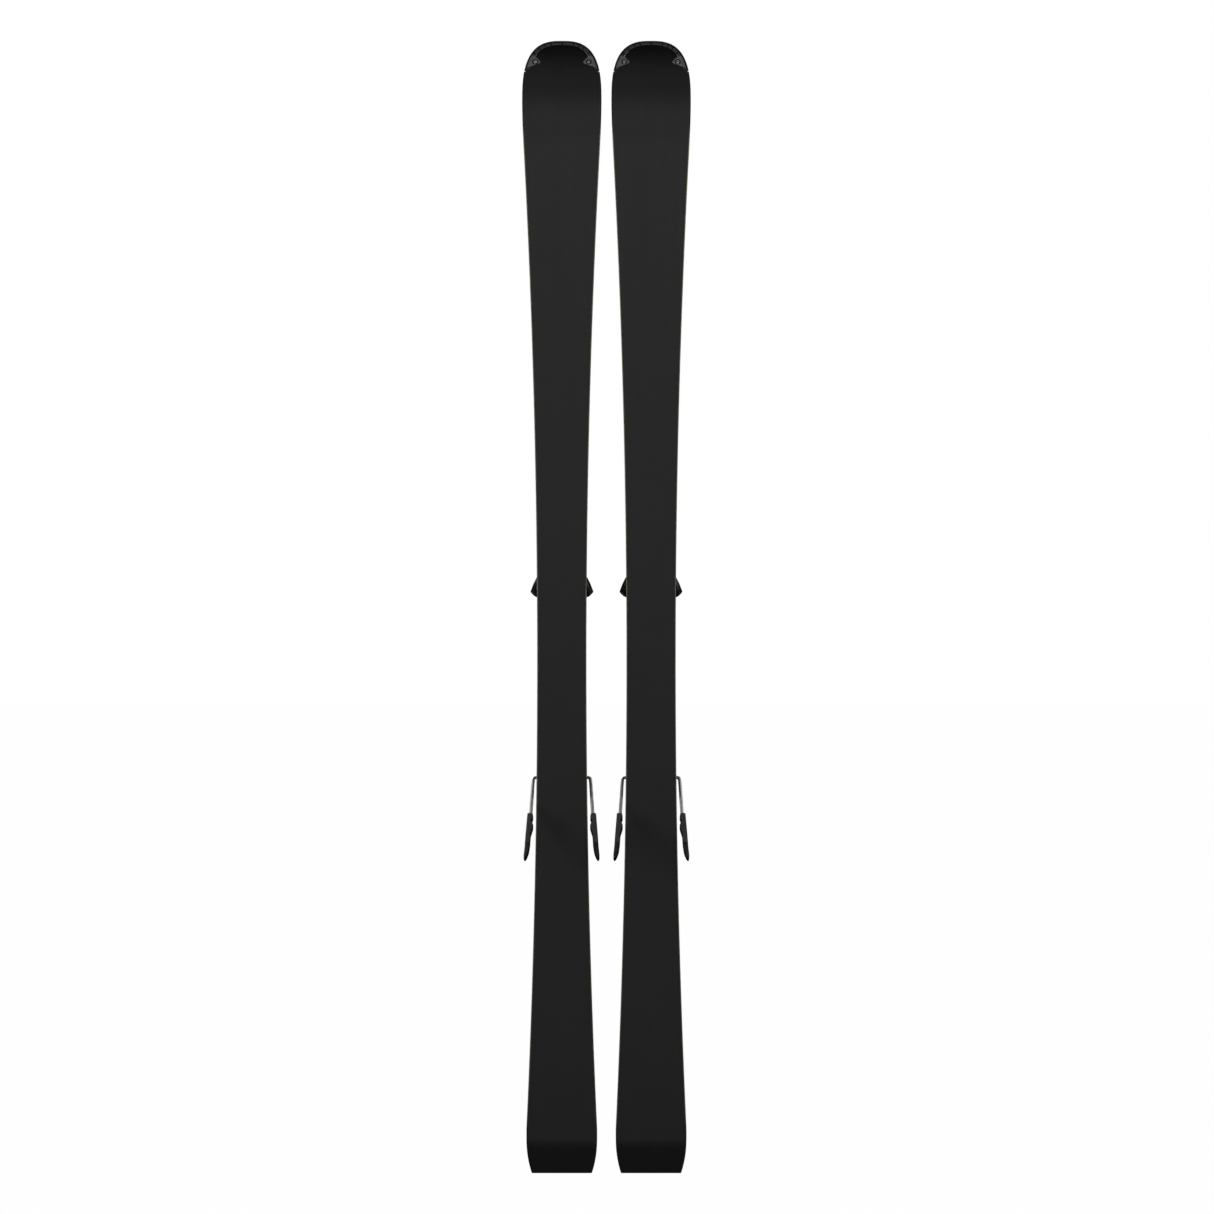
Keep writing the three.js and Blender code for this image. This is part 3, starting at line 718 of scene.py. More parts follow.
def rgba(colour, gain=1.0):
    """The colour made lighter or darker, with full opacity."""
    return (*[min(1.0, channel * gain) for channel in colour], 1.0)


def plastic(name, colour, rough, grain, depth=0.03, wear=0.5, specular=0.5, lift=2.6, coat=0.0):
    """Moulded plastic: pitted grain, uneven gloss, paler rubbed rims and hairline scuffs."""
    material, nodes, shader = start_finish(name, specular_ior_level=specular, coat_weight=coat,
                                           coat_roughness=0.12)
    grain_out = placed(nodes, "moulded_grain", grain_scale=grain, tone_scale=55.0)
    pointiness = nodes.add("ShaderNodeNewGeometry").outputs["Pointiness"]
    worn = placed(nodes, "edge_wear", pointiness=pointiness, amount=wear, patch_scale=170.0)["Mask"]
    scuffs = placed(nodes, "light_scuffs", stretch=(1.0, 1.0, 0.2), scuff_scale=30.0)["Mask"]
    body = nodes.mix(nodes.ramp(grain_out["Tone"], 0.35, 0.65), rgba(colour, 0.86), rgba(colour, 1.14))
    marks = nodes.math("MAXIMUM", worn, nodes.math("MULTIPLY", scuffs, 0.35 * wear))
    link(nodes, nodes.mix(marks, body, rgba(colour, lift)), shader, "Base Color")
    gloss = nodes.ramp(grain_out["Tone"], 0.3, 0.7, rough - 0.05, rough + 0.06)
    link(nodes, nodes.math("MULTIPLY_ADD", marks, 0.14, gloss), shader, "Roughness")
    bump(nodes, shader, grain_out["Height"], 0.35, depth)
    return material


def metal(name, colour, rough, stretch, lines, dark, patch):
    """Drawn or plated steel: fine lines, uneven tone and faint dulled patches."""
    material, nodes, shader = start_finish(name, metallic=1.0)
    drawn = placed(nodes, "drawn_lines", stretch=stretch, line_scale=lines)
    tone = nodes.ramp(drawn["Tone"], 0.36, 0.64)
    body = nodes.mix(tone, rgba(colour, dark), rgba(colour))
    dull = nodes.ramp(nodes.noise(nodes.place(), 45.0, 4.0, 0.6), 0.5, 0.75)
    link(nodes, nodes.mix(nodes.math("MULTIPLY", dull, patch), body, rgba(colour, 0.4)), shader, "Base Color")
    gloss = nodes.ramp(tone, 0.0, 1.0, rough, rough + 0.1)
    link(nodes, nodes.math("MULTIPLY_ADD", dull, 0.12, gloss), shader, "Roughness")
    bump(nodes, shader, drawn["Height"], 0.4, 0.01)
    return material


def edge_finish(colour, black):
    """Edge steel with fine ground lines: bright and metallic along the running length, black towards tip and
    tail.
    """
    material, nodes, shader = start_finish("ground_edge")
    drawn = placed(nodes, "drawn_lines", stretch=(1.0, 1.0, 0.02), line_scale=1400.0)
    bright = nodes.between(nodes.split()["Z"], 0.068, 1.515, 0.02, 0.017)
    steel = nodes.mix(nodes.ramp(drawn["Tone"], 0.36, 0.64), rgba(colour, 0.8), rgba(colour, 1.1))
    stain = nodes.ramp(nodes.noise(nodes.place(), 40.0, 3.0), 0.55, 0.75, 0.0, 0.4)
    steel = nodes.mix(stain, steel, rgba(colour, 0.45))
    link(nodes, nodes.mix(bright, rgba(black), steel), shader, "Base Color")
    link(nodes, nodes.math("MULTIPLY", bright, 0.85), shader, "Metallic")
    link(nodes, nodes.math("MULTIPLY_ADD", bright, 0.4, 0.08), shader, "Specular IOR Level")
    link(nodes, nodes.ramp(drawn["Tone"], 0.3, 0.7, 0.36, 0.48), shader, "Roughness")
    bump(nodes, shader, drawn["Height"], 0.4, 0.01)
    return material


def base_finish(colour):
    """Sintered graphite base: stone-ground structure along the ski and faint pores, darkened towards the tip
    by painted shade.
    """
    material, nodes, shader = start_finish("sintered_base")
    ground = placed(nodes, "drawn_lines", stretch=(1.0, 1.0, 0.012), line_scale=1500.0)
    grain_out = placed(nodes, "moulded_grain", grain_scale=5200.0, tone_scale=14.0)
    scuffs = placed(nodes, "light_scuffs", stretch=(1.0, 1.0, 0.03), scuff_scale=60.0)["Mask"]
    tone = nodes.math("MULTIPLY_ADD", grain_out["Tone"], 0.6, nodes.math("MULTIPLY", ground["Tone"], 0.4))
    along = nodes.split()["Z"]
    body = nodes.mix(nodes.ramp(tone, 0.4, 0.6), rgba(colour, 0.93), rgba(colour, 1.07))
    # Painted shade: towards the tip the base's colour goes to black and its specular falls.
    painted_shade = nodes.curve(along, BASE_PAINTED_TIP_SHADE)
    body = nodes.mix(painted_shade, BLACK, body)
    link(nodes, nodes.math("MULTIPLY", painted_shade, BASE_SPECULAR), shader, "Specular IOR Level")
    marks = nodes.math("MULTIPLY", scuffs, 0.16)
    link(nodes, nodes.mix(marks, body, rgba(colour, 1.9)), shader, "Base Color")
    link(nodes, nodes.ramp(ground["Tone"], 0.3, 0.7, 0.44, 0.54), shader, "Roughness")
    bump(nodes, shader, ground["Height"], 0.3, 0.012)
    return material


def topsheet_finish(ground, grey, accent):
    """Printed topsheet: slanted bands at shovel and tail over fine pinstripes, under a satin lacquer."""
    material, nodes, shader = start_finish("printed_topsheet", coat_weight=0.35, coat_roughness=0.18)
    split = nodes.split()
    across = nodes.math("ABSOLUTE", split["X"])
    along = nodes.math("MULTIPLY_ADD", across, 1.7, split["Z"])
    cells = nodes.math("FRACT", nodes.math("MULTIPLY", along, 62.0))
    pin = nodes.between(cells, 0.44, 0.54, 0.02)
    colour = nodes.mix(nodes.math("MULTIPLY", pin, 0.5), rgba(ground), rgba(grey, 0.45))
    inks = {"grey": rgba(grey), "accent": rgba(accent)}
    for low, high, ink in PRINT_BANDS:
        colour = nodes.mix(nodes.between(along, low, high, 0.0006), colour, inks[ink])
    stripe = nodes.ramp(nodes.math("ABSOLUTE", nodes.math("SUBTRACT", across, 0.026)), 0.0009, 0.0005)
    colour = nodes.mix(stripe, colour, rgba(grey, 0.7))
    scuffs = placed(nodes, "light_scuffs", stretch=(1.0, 1.0, 0.12), scuff_scale=26.0)["Mask"]
    marks = nodes.math("MULTIPLY", scuffs, 0.1)
    link(nodes, nodes.mix(marks, colour, (0.3, 0.3, 0.31, 1.0)), shader, "Base Color")
    grain_out = placed(nodes, "moulded_grain", grain_scale=1500.0, tone_scale=30.0)
    link(nodes, nodes.ramp(grain_out["Tone"], 0.3, 0.7, 0.26, 0.36), shader, "Roughness")
    bump(nodes, shader, grain_out["Height"], 0.2, 0.015)
    return material


def wood_finish(colour):
    """Sawn laminated strips, seen only if the ski is opened."""
    material, nodes, shader = start_finish("laminated_core")
    drawn = placed(nodes, "drawn_lines", stretch=(1.0, 1.0, 0.03), line_scale=260.0)
    strip = nodes.math("PINGPONG", nodes.split()["X"], 0.006)
    grain = nodes.ramp(strip, 0.0, 0.006)
    shade = nodes.math("MULTIPLY_ADD", grain, 0.3, nodes.ramp(drawn["Tone"], 0.35, 0.65))
    link(nodes, nodes.mix(shade, rgba(colour, 0.6), rgba(colour)), shader, "Base Color")
    link(nodes, nodes.ramp(drawn["Tone"], 0.3, 0.7, 0.6, 0.75), shader, "Roughness")
    bump(nodes, shader, drawn["Height"], 0.4, 0.05)
    return material


def make_finishes(colours):
    """Every finish of the skis, by the maker's name for it."""
    make_effects()
    housing, lever, grey = colours.housing, colours.lever, colours.print_grey
    FINISH.update({
        "base": base_finish(colours.base),
        "topsheet": topsheet_finish(colours.topsheet, grey, colours.accent),
        "core": wood_finish(colours.core),
        "edge": edge_finish(colours.edge, housing),
        "edge_groove_shade": plastic("edge_groove_shade", colours.groove, 0.6, 2600.0, wear=0.0),
        "sidewall": plastic("abs_sidewall", housing, 0.42, 1600.0, wear=0.3),
        "guard_black_and_shade": plastic("guard_black_and_shade", housing, 0.36, 1800.0, wear=0.2, specular=0.16),
        "guard": plastic("guard_face", colours.guard, 0.5, 1800.0, wear=0.35, lift=1.8),
        "lug": plastic("guard_lug", colours.lug, 0.5, 1800.0, lift=1.6),
        "housing": plastic("moulded_housing", housing, 0.24, 2600.0, depth=0.012, wear=0.45, coat=0.25),
        "rail": plastic("filled_rail", colours.rail, 0.46, 1500.0, depth=0.05),
        "lever": plastic("grey_lever", lever, 0.36, 2000.0, lift=1.7),
        "pad": plastic("brake_plastic", colours.pad_rim, 0.42, 1700.0, wear=0.2, specular=0.25),
        "pad_face": plastic("pad_face", colours.pad_face, 0.48, 1700.0, wear=0.3, lift=1.6),
        "slide": plastic("slide_plate", colours.slide, 0.32, 2400.0, wear=0.3, lift=1.3),
        "accent": plastic("marker", colours.accent, 0.35, 2600.0, wear=0.2, lift=1.3),
        "print": plastic("printed_grey", grey, 0.34, 2600.0, wear=0.3, lift=1.4),
        "wire": metal("drawn_wire", colours.wire, 0.3, (1.0, 1.0, 0.05), 1600.0, 0.8, 0.12),
        "zinc": metal("zinc_plated", colours.wire, 0.28, (0.3, 1.0, 1.0), 700.0, 0.75, 0.35),
        "spring": metal("oiled_spring", colours.spring, 0.3, (1.0, 1.0, 1.0), 600.0, 0.55, 0.4),
        "band": metal("steel_band", colours.wire, 0.32, (1.0, 1.0, 0.02), 1000.0, 0.7, 0.3),
    })


# Ski: base, edges, sidewalls, topsheet and guards.

def rimmed(half, low, high, z, roll):
    """A flat section with small rounded corners, as points round it."""
    soft = roll * 0.3
    right = [(half - roll, low), (half - soft, low + soft), (half, low + roll),
             (half, high - roll), (half - soft, high - soft), (half - roll, high)]
    return [(x, y, z) for x, y in right + [(-x, y) for x, y in right[::-1]]]


def sheet_piece(start, inset, low, high, roll):
    """A layer that follows the ski's outline up to the tip guard."""
    lug_start, lug_end = LUG_SIDE[0][0], LUG_SIDE[-1][0]
    places = stations(start, lug_start)
    places += [lug_start + LUG_STEP * k for k in range(1, int((lug_end - lug_start) / LUG_STEP) + 1)]
    tip = stations(start, TIP_TOP_Z - RIM_BAND - JOINT_GAP, RIM_BAND + JOINT_GAP)
    places += [z for z in tip if z > lug_end]
    rings = [rimmed(max(roll + 0.05, laminate_half(z, inset)), low(z), high(z), z, roll) for z in places]
    return skinned(rings, 20)


def make_running_base():
    piece = sheet_piece(TAIL_LIP_Z + JOINT_GAP, EDGE_WIDE + JOINT_GAP, base_height,
                        lambda z: depth_at(z, BASE_THICK), 0.15)
    fit_pair(finish_with(piece, "base"), "base_sheet", "ski", "base", "running_base")


def make_topsheet():
    piece = sheet_piece(TAIL_CAP_Z + JOINT_GAP, SIDEWALL_BEVEL,
                        lambda z: depth_at(z, thickness(z) - TOPSHEET_THICK),
                        lambda z: depth_at(z, thickness(z)), 0.45)
    fit_pair(finish_with(piece, "topsheet"), "top_sheet", "ski", "topsheet", "topsheet")


def side_strip(side, start, end, section, crease=CREASE):
    """A strip along one side of the ski: section(z) gives its (inset, height) corners."""
    rings = [[(side * half_width(z, inset), y, z) for inset, y in section(z)] for z in stations(start, end)]
    return skinned(rings, crease)


def edge_section(z):
    """Ground steel: proud outer face, then a fine groove against the base."""
    corners = [(0, EDGE_TALL), (0, 0.4), (0.12, 0.12), (0.4, 0), (1.35, 0), (1.5, 0.2), (EDGE_WIDE, 0.2),
               (EDGE_WIDE, EDGE_TALL)]
    return [(inset, depth_at(z, deep)) for inset, deep in corners]


def sidewall_section(z):
    """Moulded strip over the edge: upright outside, bevelled at the top."""
    low, high = EDGE_TALL + JOINT_GAP, thickness(z) - TOPSHEET_THICK - JOINT_GAP
    corners = [(SIDEWALL_WIDE, low), (JOINT_GAP, low), (JOINT_GAP, high - 1.6), (JOINT_GAP + 0.5, high - 0.7),
               (JOINT_GAP + SIDEWALL_BEVEL - 0.2, high), (SIDEWALL_WIDE, high)]
    return [(inset, depth_at(z, deep)) for inset, deep in corners]


def make_side_strips():
    for word, side in SIDES:
        edge = side_strip(side, TAIL_LIP_Z + JOINT_GAP, EDGE_END_Z, edge_section, 30)
        edge = finish_with(edge, "edge", "edge_groove_shade")
        # The recessed groove faces beside the base take a dark brown finish: painted shade in the groove.
        paint_faces(edge, 1, lambda c, n: n.y < -0.3 and abs(c.x) < half_width(c.z, 1.4))
        fit_pair(edge, f"ground_edge_{word}", "ski", "steel_edge", f"steel_edge_{word}")
        wall = side_strip(side, TAIL_CAP_Z + JOINT_GAP, EDGE_END_Z, sidewall_section)
        wall = finish_with(wall, "sidewall")
        fit_pair(wall, f"side_strip_{word}", "ski", "sidewall", f"sidewall_{word}")


def guard_point(turn, inset, deep):
    """A point of the tip guard: turn runs from side to side over the tip."""
    reach = abs(math.sin(turn)) ** TIP_POWER
    z = SHOVEL_Z + (TIP_TOP_Z - SHOVEL_Z - inset) * (1 - reach) ** (1 / TIP_POWER)
    return ((SHOVEL_HALF - inset) * math.sin(turn), depth_at(z, deep), z)


def band_section(turn, notched):
    """Section of the guard's band: rolled black rim, then a flat face with a line down each arm. The rim's
    black is partly the guard's own colour and partly painted shade on the roll.
    """
    face = 0.4 if notched else -0.12
    share = ease((BAND_END - abs(turn)) / LUG_TURN)
    line = 0.35 if abs(math.sin(turn)) * SHOVEL_HALF > BAND_LINE_FROM else face
    low = [(RIM_BAND, face), (5.2, face), (5.0, line), (4.6, line), (4.4, face), (RIM_ROLL + 0.3, face),
           (RIM_ROLL, -0.5), (1.1, -0.5), (0.35, -0.1), (0, 0.7)]
    high = [(0, 0.3), (0.4, -0.3), (1.2, -0.6), (RIM_ROLL, -0.6), (RIM_ROLL + 0.4, -0.3), (RIM_BAND, -0.3)]
    section = low + [(inset, SHOVEL_THICK - deep) for inset, deep in high]
    kept = RIM_ROLL + 0.1
    return [(inset if inset < kept else kept + (inset - kept) * max(0.04, share), deep)
            for inset, deep in section]


def guard_band():
    """The band round the tip, with its notches, whose faces are painted black as shade."""
    turns = [BAND_END * (k / 60 - 1) for k in range(121)]
    middles = [math.asin(x / (SHOVEL_HALF - RIM_BAND / 2)) for x in BAND_NOTCHES]
    turns += [middle + shift for middle in middles for shift in NOTCH_CUT]
    turns.sort()
    rings = []
    for turn in turns:
        notched = any(abs(turn - middle) < NOTCH_TURN for middle in middles)
        rings.append([guard_point(turn, inset, deep) for inset, deep in band_section(turn, notched)])
    band = skinned(rings, 35)
    count = len(rings[0])
    for face in band.data.polygons:
        ring = face.index // count
        if ring < len(rings) - 1 and face.index % count in BAND_FACES:
            middle = (turns[ring] + turns[ring + 1]) / 2
            # Faces in a notch take the black finish as painted shade. The other face faces take the grey.
            face.material_index = 0 if any(abs(middle - place) < NOTCH_SHADE_TURN for place in middles) else 1
    return band


def guard_lug(side):
    """The plate that carries the rivet, inside the band's rim."""
    inner = [(x, z) for z, x in LUG_SIDE]
    outer = [(tip_half_width(z, RIM_ROLL + 0.1), z) for z in (1635.4, 1632, 1628, 1624, 1620, 1616.4)]
    outline = [(side * x, z) for x, z in inner + outer]
    plate = slab(outline, LUG_LOW, LUG_HIGH, 0.35, lambda p, deep: (p[0], depth_at(p[1], deep), p[1]))
    return paint_faces(plate, 2)


def eyelet(side, out, radius):
    """A tubular rivet in a black seat ring: rolled flange round a sunk hole. The hole's inside and the seat
    ring are painted shade.
    """
    x, z = side * RIVET[0], RIVET[1]
    slope = base_height(z + 0.5) - base_height(z - 0.5)
    normal = Vector((0, -1, slope)).normalized() * out
    centre = Vector((x, depth_at(z, LUG_LOW if out > 0 else LUG_HIGH), z))
    flange = [(-1.2, radius - 0.2), (0.1, radius), (0.35, radius - 0.1), (0.52, radius - 0.5),
              (0.5, radius - 0.9), (0.3, radius - 1.2), (-0.8, radius - 1.3)]
    ring = turned(flange, centre, normal, 24)
    # The inside of the hole is painted black: painted shade in the hole.
    paint_faces(ring, 1, lambda c, n: (c - centre).dot(normal) < -0.3)
    # The seat ring is barely proud of the lug and painted black. It is painted shade standing for the recess
    # round the rivet.
    inner, outer = radius - 0.6, radius + 1.7
    rim = [(-0.4, outer - 0.2), (0.08, outer), (0.12, outer - 0.2), (0.1, inner), (-0.3, inner - 0.1)]
    return merged(ring, paint_faces(turned(rim, centre, normal, 28), 1))


def make_tip_guard(sizes):
    guard = merged(guard_band(), guard_lug(-1), guard_lug(1))
    guard = finish_with(guard, "guard_black_and_shade", "guard", "lug")
    fit_pair(guard, "tip_shield", "ski", "guard", "tip_guard")
    rivets = [eyelet(side, out, sizes.rivet_radius / MM) for side in (-1, 1) for out in (-1, 1)]
    fit_pair(finish_with(merged(*rivets), "zinc", "guard_black_and_shade"), "tip_rivets", "ski", "zinc")


def make_tail_guard():
    step = EDGE_TALL + JOINT_GAP
    rings = []
    for z, inset, low in ((0, 0.9, 0.9), (0.3, 0.3, 0.3), (0.8, 0, 0), (TAIL_LIP_Z, 0, 0),
                          (TAIL_LIP_Z, 0, step), (6, 0, step), (TAIL_CAP_Z - 0.3, 0, step),
                          (TAIL_CAP_Z, 0.3, EDGE_TALL + 0.6)):
        top = thickness(z) + 0.2 - min(low, 0.9)
        rings.append(rimmed(half_width(z, inset), depth_at(z, low), depth_at(z, top), z, 0.5))
    fit_pair(finish_with(skinned(rings), "guard_black_and_shade"), "tail_shield", "ski", "guard", "tail_guard")


# Binding.

def recessed_screw(x, y, z, radius):
    """A countersunk screw head with a cross recess."""
    profile = [(-2, radius - 1.2), (0, radius), (0.5, radius - 0.2), (0.9, radius - 1.0)]
    head = turned(profile, (x, y, z), (0, 1, 0), 24)
    arms = [box((x - a, x + a), (y + 0.1, y + 3), (z - b, z + b), 0.02, 0.05)
            for a, b in ((2.0, 0.45), (0.45, 2.0))]
    return combined(head, arms)


def rail_line(name, floor):
    """Side view of a rail, as (Y, Z). The front one starts with the foot of the slide plate."""
    low, high = RAIL_ENDS[name]
    if name == "rear":
        start = [(floor, low), (RAIL_TOP - 4, low), (RAIL_TOP, low + 9)]
    else:
        start = [(floor, low), (26.6, low + 7), (26.8, low + 43), (RAIL_TOP, low + 47)]
    return start + [(RAIL_TOP, high - 9), (RAIL_TOP - 4, high), (floor, high)]


def rail_cuts(name, screw_head):
    """Side grooves, screw pockets, and the teeth or openings in a rail's top."""
    low, high = RAIL_ENDS[name]
    above = RAIL_TOP + 3
    cuts = [box((x - 1.4, x + 1.4), (16.4, 18.2), (low - 5, high + 5), 0.2, 0.3)
            for x in (-RAIL_HALF, RAIL_HALF)]
    if name == "rear":
        teeth = [424 + 5 * k for k in range(6)] + [653 + 5 * k for k in range(3)]
        cuts += [box((-8, 8), (RAIL_TOP - 1.8, above), (z, z + 2.4), 0.1, 0.4) for z in teeth]
    else:
        cuts += [box((x - 6, x + 6), (RAIL_TOP - 2, above), (854.5, 861), 0.3, 1.5) for x in (-16, 16)]
        cuts += [box((x - 3, x + 3), (RAIL_TOP - 1.6, above), (951, 957), 0.3, 1.5) for x in (-8, 8)]
    return cuts + [rod((x, RAIL_TOP - 1.6, z), (x, RAIL_TOP + 2, z), screw_head + 0.5, 0.1)
                   for x in SCREW_COLUMNS for z in SCREW_ROWS[name]]


def make_rails(sizes):
    floor = thickness(WAIST_Z) + JOINT_GAP
    screw_head = sizes.screw_head / MM
    for name in RAIL_ENDS:
        rail = slab(filleted(rail_line(name, floor), 1.5, 3), -RAIL_HALF, RAIL_HALF, 1.2, in_profile)
        rail = finish_with(combined(rail, rail_cuts(name, screw_head)), "rail")
        fit_pair(rail, f"{name}_track", "ski", "binding_black", f"{name}_rail")
    screws = [recessed_screw(x, RAIL_TOP - 0.95, z, screw_head)
              for x in SCREW_COLUMNS for row in SCREW_ROWS.values() for z in row]
    fit_pair(finish_with(merged(*screws), "zinc"), "rail_screws", "ski", "zinc")
    ends = (RAIL_ENDS["rear"][1] + JOINT_GAP, RAIL_ENDS["front"][0] - JOINT_GAP)
    strip = box((-9, 9), (floor, floor + 0.9), ends, 0.15, 0.5)
    starts = [690 + sizes.slot_pitch / MM * k for k in range(8)]
    slots = [box((-3, 3), (floor - 1, floor + 2), (z, z + 7), 0.1, 2.8) for z in starts]
    fit_pair(finish_with(combined(strip, slots), "band"), "length_band", "ski", "zinc")


def dome_ring(z, half, low, high):
    """Section of a dome: flat below, a superellipse above."""
    ring = []
    for k in range(DOME_STEPS + 1):
        angle = math.pi * k / DOME_STEPS
        x = half * math.copysign(abs(math.cos(angle)) ** (2 / DOME_POWER), math.cos(angle))
        ring.append((x, low + (high - low) * math.sin(angle) ** (2 / DOME_POWER), z))
    return ring


def scale_ticks(y, z):
    """Six tick marks beside a value marker, from the limits of the first one."""
    return merged(*[box((1.2, 3.4), y, (z[0] + 3.3 * k, z[1] + 3.3 * k), 0.05, 0.1) for k in range(6)])


def make_toe_housing():
    cap_low = WING_HIGH + 0.3
    start, end = TOE_CROWN[0][0], TOE_CROWN[-1][0]
    rings = [dome_ring(start, 30.6, cap_low + 0.8, 74.2)]
    for z in [start + (end - start) * ease(k / 40) for k in range(40)]:
        rings.append(dome_ring(z + 0.5, flowing(TOE_SPREAD, z), cap_low, flowing(TOE_CROWN, z)))
    rings.append(dome_ring(end, 11.2, cap_low + 0.8, 63.6))
    cap = skinned(rings, 50)
    foot_line = [(20.9, 864), (31, 865), (35.1, 867.5), (35.1, 938), (31.5, 941.5), (20.9, 948)]
    foot = slab(filleted(foot_line, 2.5, 4), -31, 31, 2.0, in_profile)
    scallops = [slab([(x + 5 * math.cos(a), 905 + 24 * math.sin(a)) for a in full_turn(40)], 24, 40, 0.3)
                for x in (-33, 33)]
    body = box((-14, 14), (34.6, 62.8), (868, 940), 1.0, 3.0)
    x, z = TOE_PIVOT
    bosses = [rod((side * x, 34.6, z), (side * x, 62.8, z), 3, 0.1) for side in (-1, 1)]
    housing = combined(combined(foot, scallops), [body, *bosses, cap], "UNION")
    bore = turned([(0, 10.5), (53, 10.5), (56.5, 11.4), (70, 11.4)], (0, TOE_BORE_Y, 884), (0, 0, 1), 40)
    window = box((-4, 4), (77.5, 90), (892, 914), 0.4, 2.5)
    seams = [box((x - 0.35, x + 0.35), (77.5, 95), (866, 900), 0.05, 0.1) for x in (-22, 22)]
    housing = combined(housing, [bore, window, *seams])
    fit_pair(finish_with(housing, "housing"), "toe_body", "ski", "binding_gloss", "toe_housing")
    scale = scale_ticks((77.3, 77.9), (894.2, 895.0))
    fit_pair(finish_with(scale, "print"), "toe_scale", "ski", "binding_grey")


def make_toe_wings():
    for word, side in SIDES:
        arm = filleted([(side * x, z) for x, z in WING_LINE], 1.2, 3)
        boss = [(side * x, z) for x, z in arc(TOE_PIVOT, 7.6, 205, -185, 14)]
        levels = [(3.2, WING_LOW), (2.9, WING_LOW + 0.1), (0.35, WING_LOW + 3.0), (0, WING_LOW + 3.6),
                  (0, WING_HIGH - 1.2), (0.35, WING_HIGH - 0.35), (1.2, WING_HIGH)]
        wing = stacked(arm + boss, levels, crease=WING_CREASE)
        x, z = TOE_PIVOT
        wing = combined(wing, [rod((side * x, WING_LOW - 5, z), (side * x, WING_HIGH + 5, z), 3.3, 0.1)])
        lip = filleted([(side * x, z) for x, z in WING_LIP], 3)
        hook = slab(lip, WING_HIGH - 6.6, WING_HIGH - 0.4, 1.2)
        bead = swept(bent([(side * x, WING_LOW + 0.5, z) for x, z in WING_BEAD], 2, 5), 0.42, 8)
        wing = finish_with(merged(wing, hook, paint_faces(bead, 1)), "housing", "lever")
        smoothed(wing, WING_CREASE)
        fit_pair(wing, f"wing_{word}", f"toe_wing_{word}", "binding_gloss", f"toe_wing_{word}")


def adjusting_screw(y, inner, head, out):
    """A slotted screw whose broad head closes a spring bore."""
    reach = abs(head - inner)
    profile = [(0, 3.9), (0.9, 5.2), (reach - 2.2, 5.2), (reach - 2, 9.5), (reach - 1.6, 9.9),
               (reach + 8.8, 9.9), (reach + 9.6, 9.4), (reach + 10, 8.6)]
    screw = turned(profile, (0, y, inner), (0, 0, out), 40)
    end = head + out * 10
    slot = box((-7.6, 7.6), (y - 1.2, y + 1.2), sorted((end - out * 3.4, end + out)), 0.05, 0.1)
    grips = [(10.3 * math.cos(a), y + 10.3 * math.sin(a)) for a in full_turn(18)]
    knurls = [rod((*grip, head + out * 1.5), (*grip, head + out * 12), 0.7, 0.05, 8) for grip in grips]
    return combined(screw, [slot, *knurls])


def make_release_parts(sizes):
    toe_screw = adjusting_screw(TOE_BORE_Y, 927, 935, 1)
    heel_screw = adjusting_screw(HEEL_BORE_Y, 498, 490, -1)
    fit_pair(finish_with(toe_screw, "zinc"), "toe_setting_screw", "toe_screw", "zinc", "toe_screw")
    fit_pair(finish_with(heel_screw, "zinc"), "heel_setting_screw", "heel_screw", "zinc", "heel_screw")
    radius, wire = sizes.spring_radius / MM, sizes.spring_wire / MM
    toe_coil = coil((0, TOE_BORE_Y, 885), radius, wire, sizes.spring_turns, 40)
    heel_coil = coil((0, HEEL_BORE_Y, 500), radius, wire, sizes.spring_turns, 39)
    fit_pair(finish_with(toe_coil, "spring"), "toe_coil", "ski", "spring_steel", "toe_spring")
    fit_pair(finish_with(heel_coil, "spring"), "heel_coil", "heel_housing", "spring_steel", "heel_spring")
    toe_mark = box((-3.4, 3.4), (78.2, 80.8), (899, 907), 0.4, 1.2)
    heel_mark = box((-3.4, 3.4), (90.7, 93.3), (530, 538), 0.4, 1.2)
    fit_pair(finish_with(toe_mark, "accent"), "toe_marker", "toe_indicator", "indicator", "toe_indicator")
    fit_pair(finish_with(heel_mark, "accent"), "heel_marker", "heel_indicator", "indicator", "heel_indicator")


def make_slide_plate():
    plate = slab(filleted(oblong((-28, 28), (815, 843)), 4, 6), 27.2, 34.2, 1.2)
    ribs = [slab(filleted(oblong((x - 2.1, x + 2.1), (818.5, 839.5)), 1.9), 33, 35.4, 0.5)
            for x in range(-21, 22, 7)]
    plate = finish_with(merged(plate, *ribs), "slide")
    fit_pair(plate, "sole_plate", "slide_plate", "slide_plastic", "slide_plate")


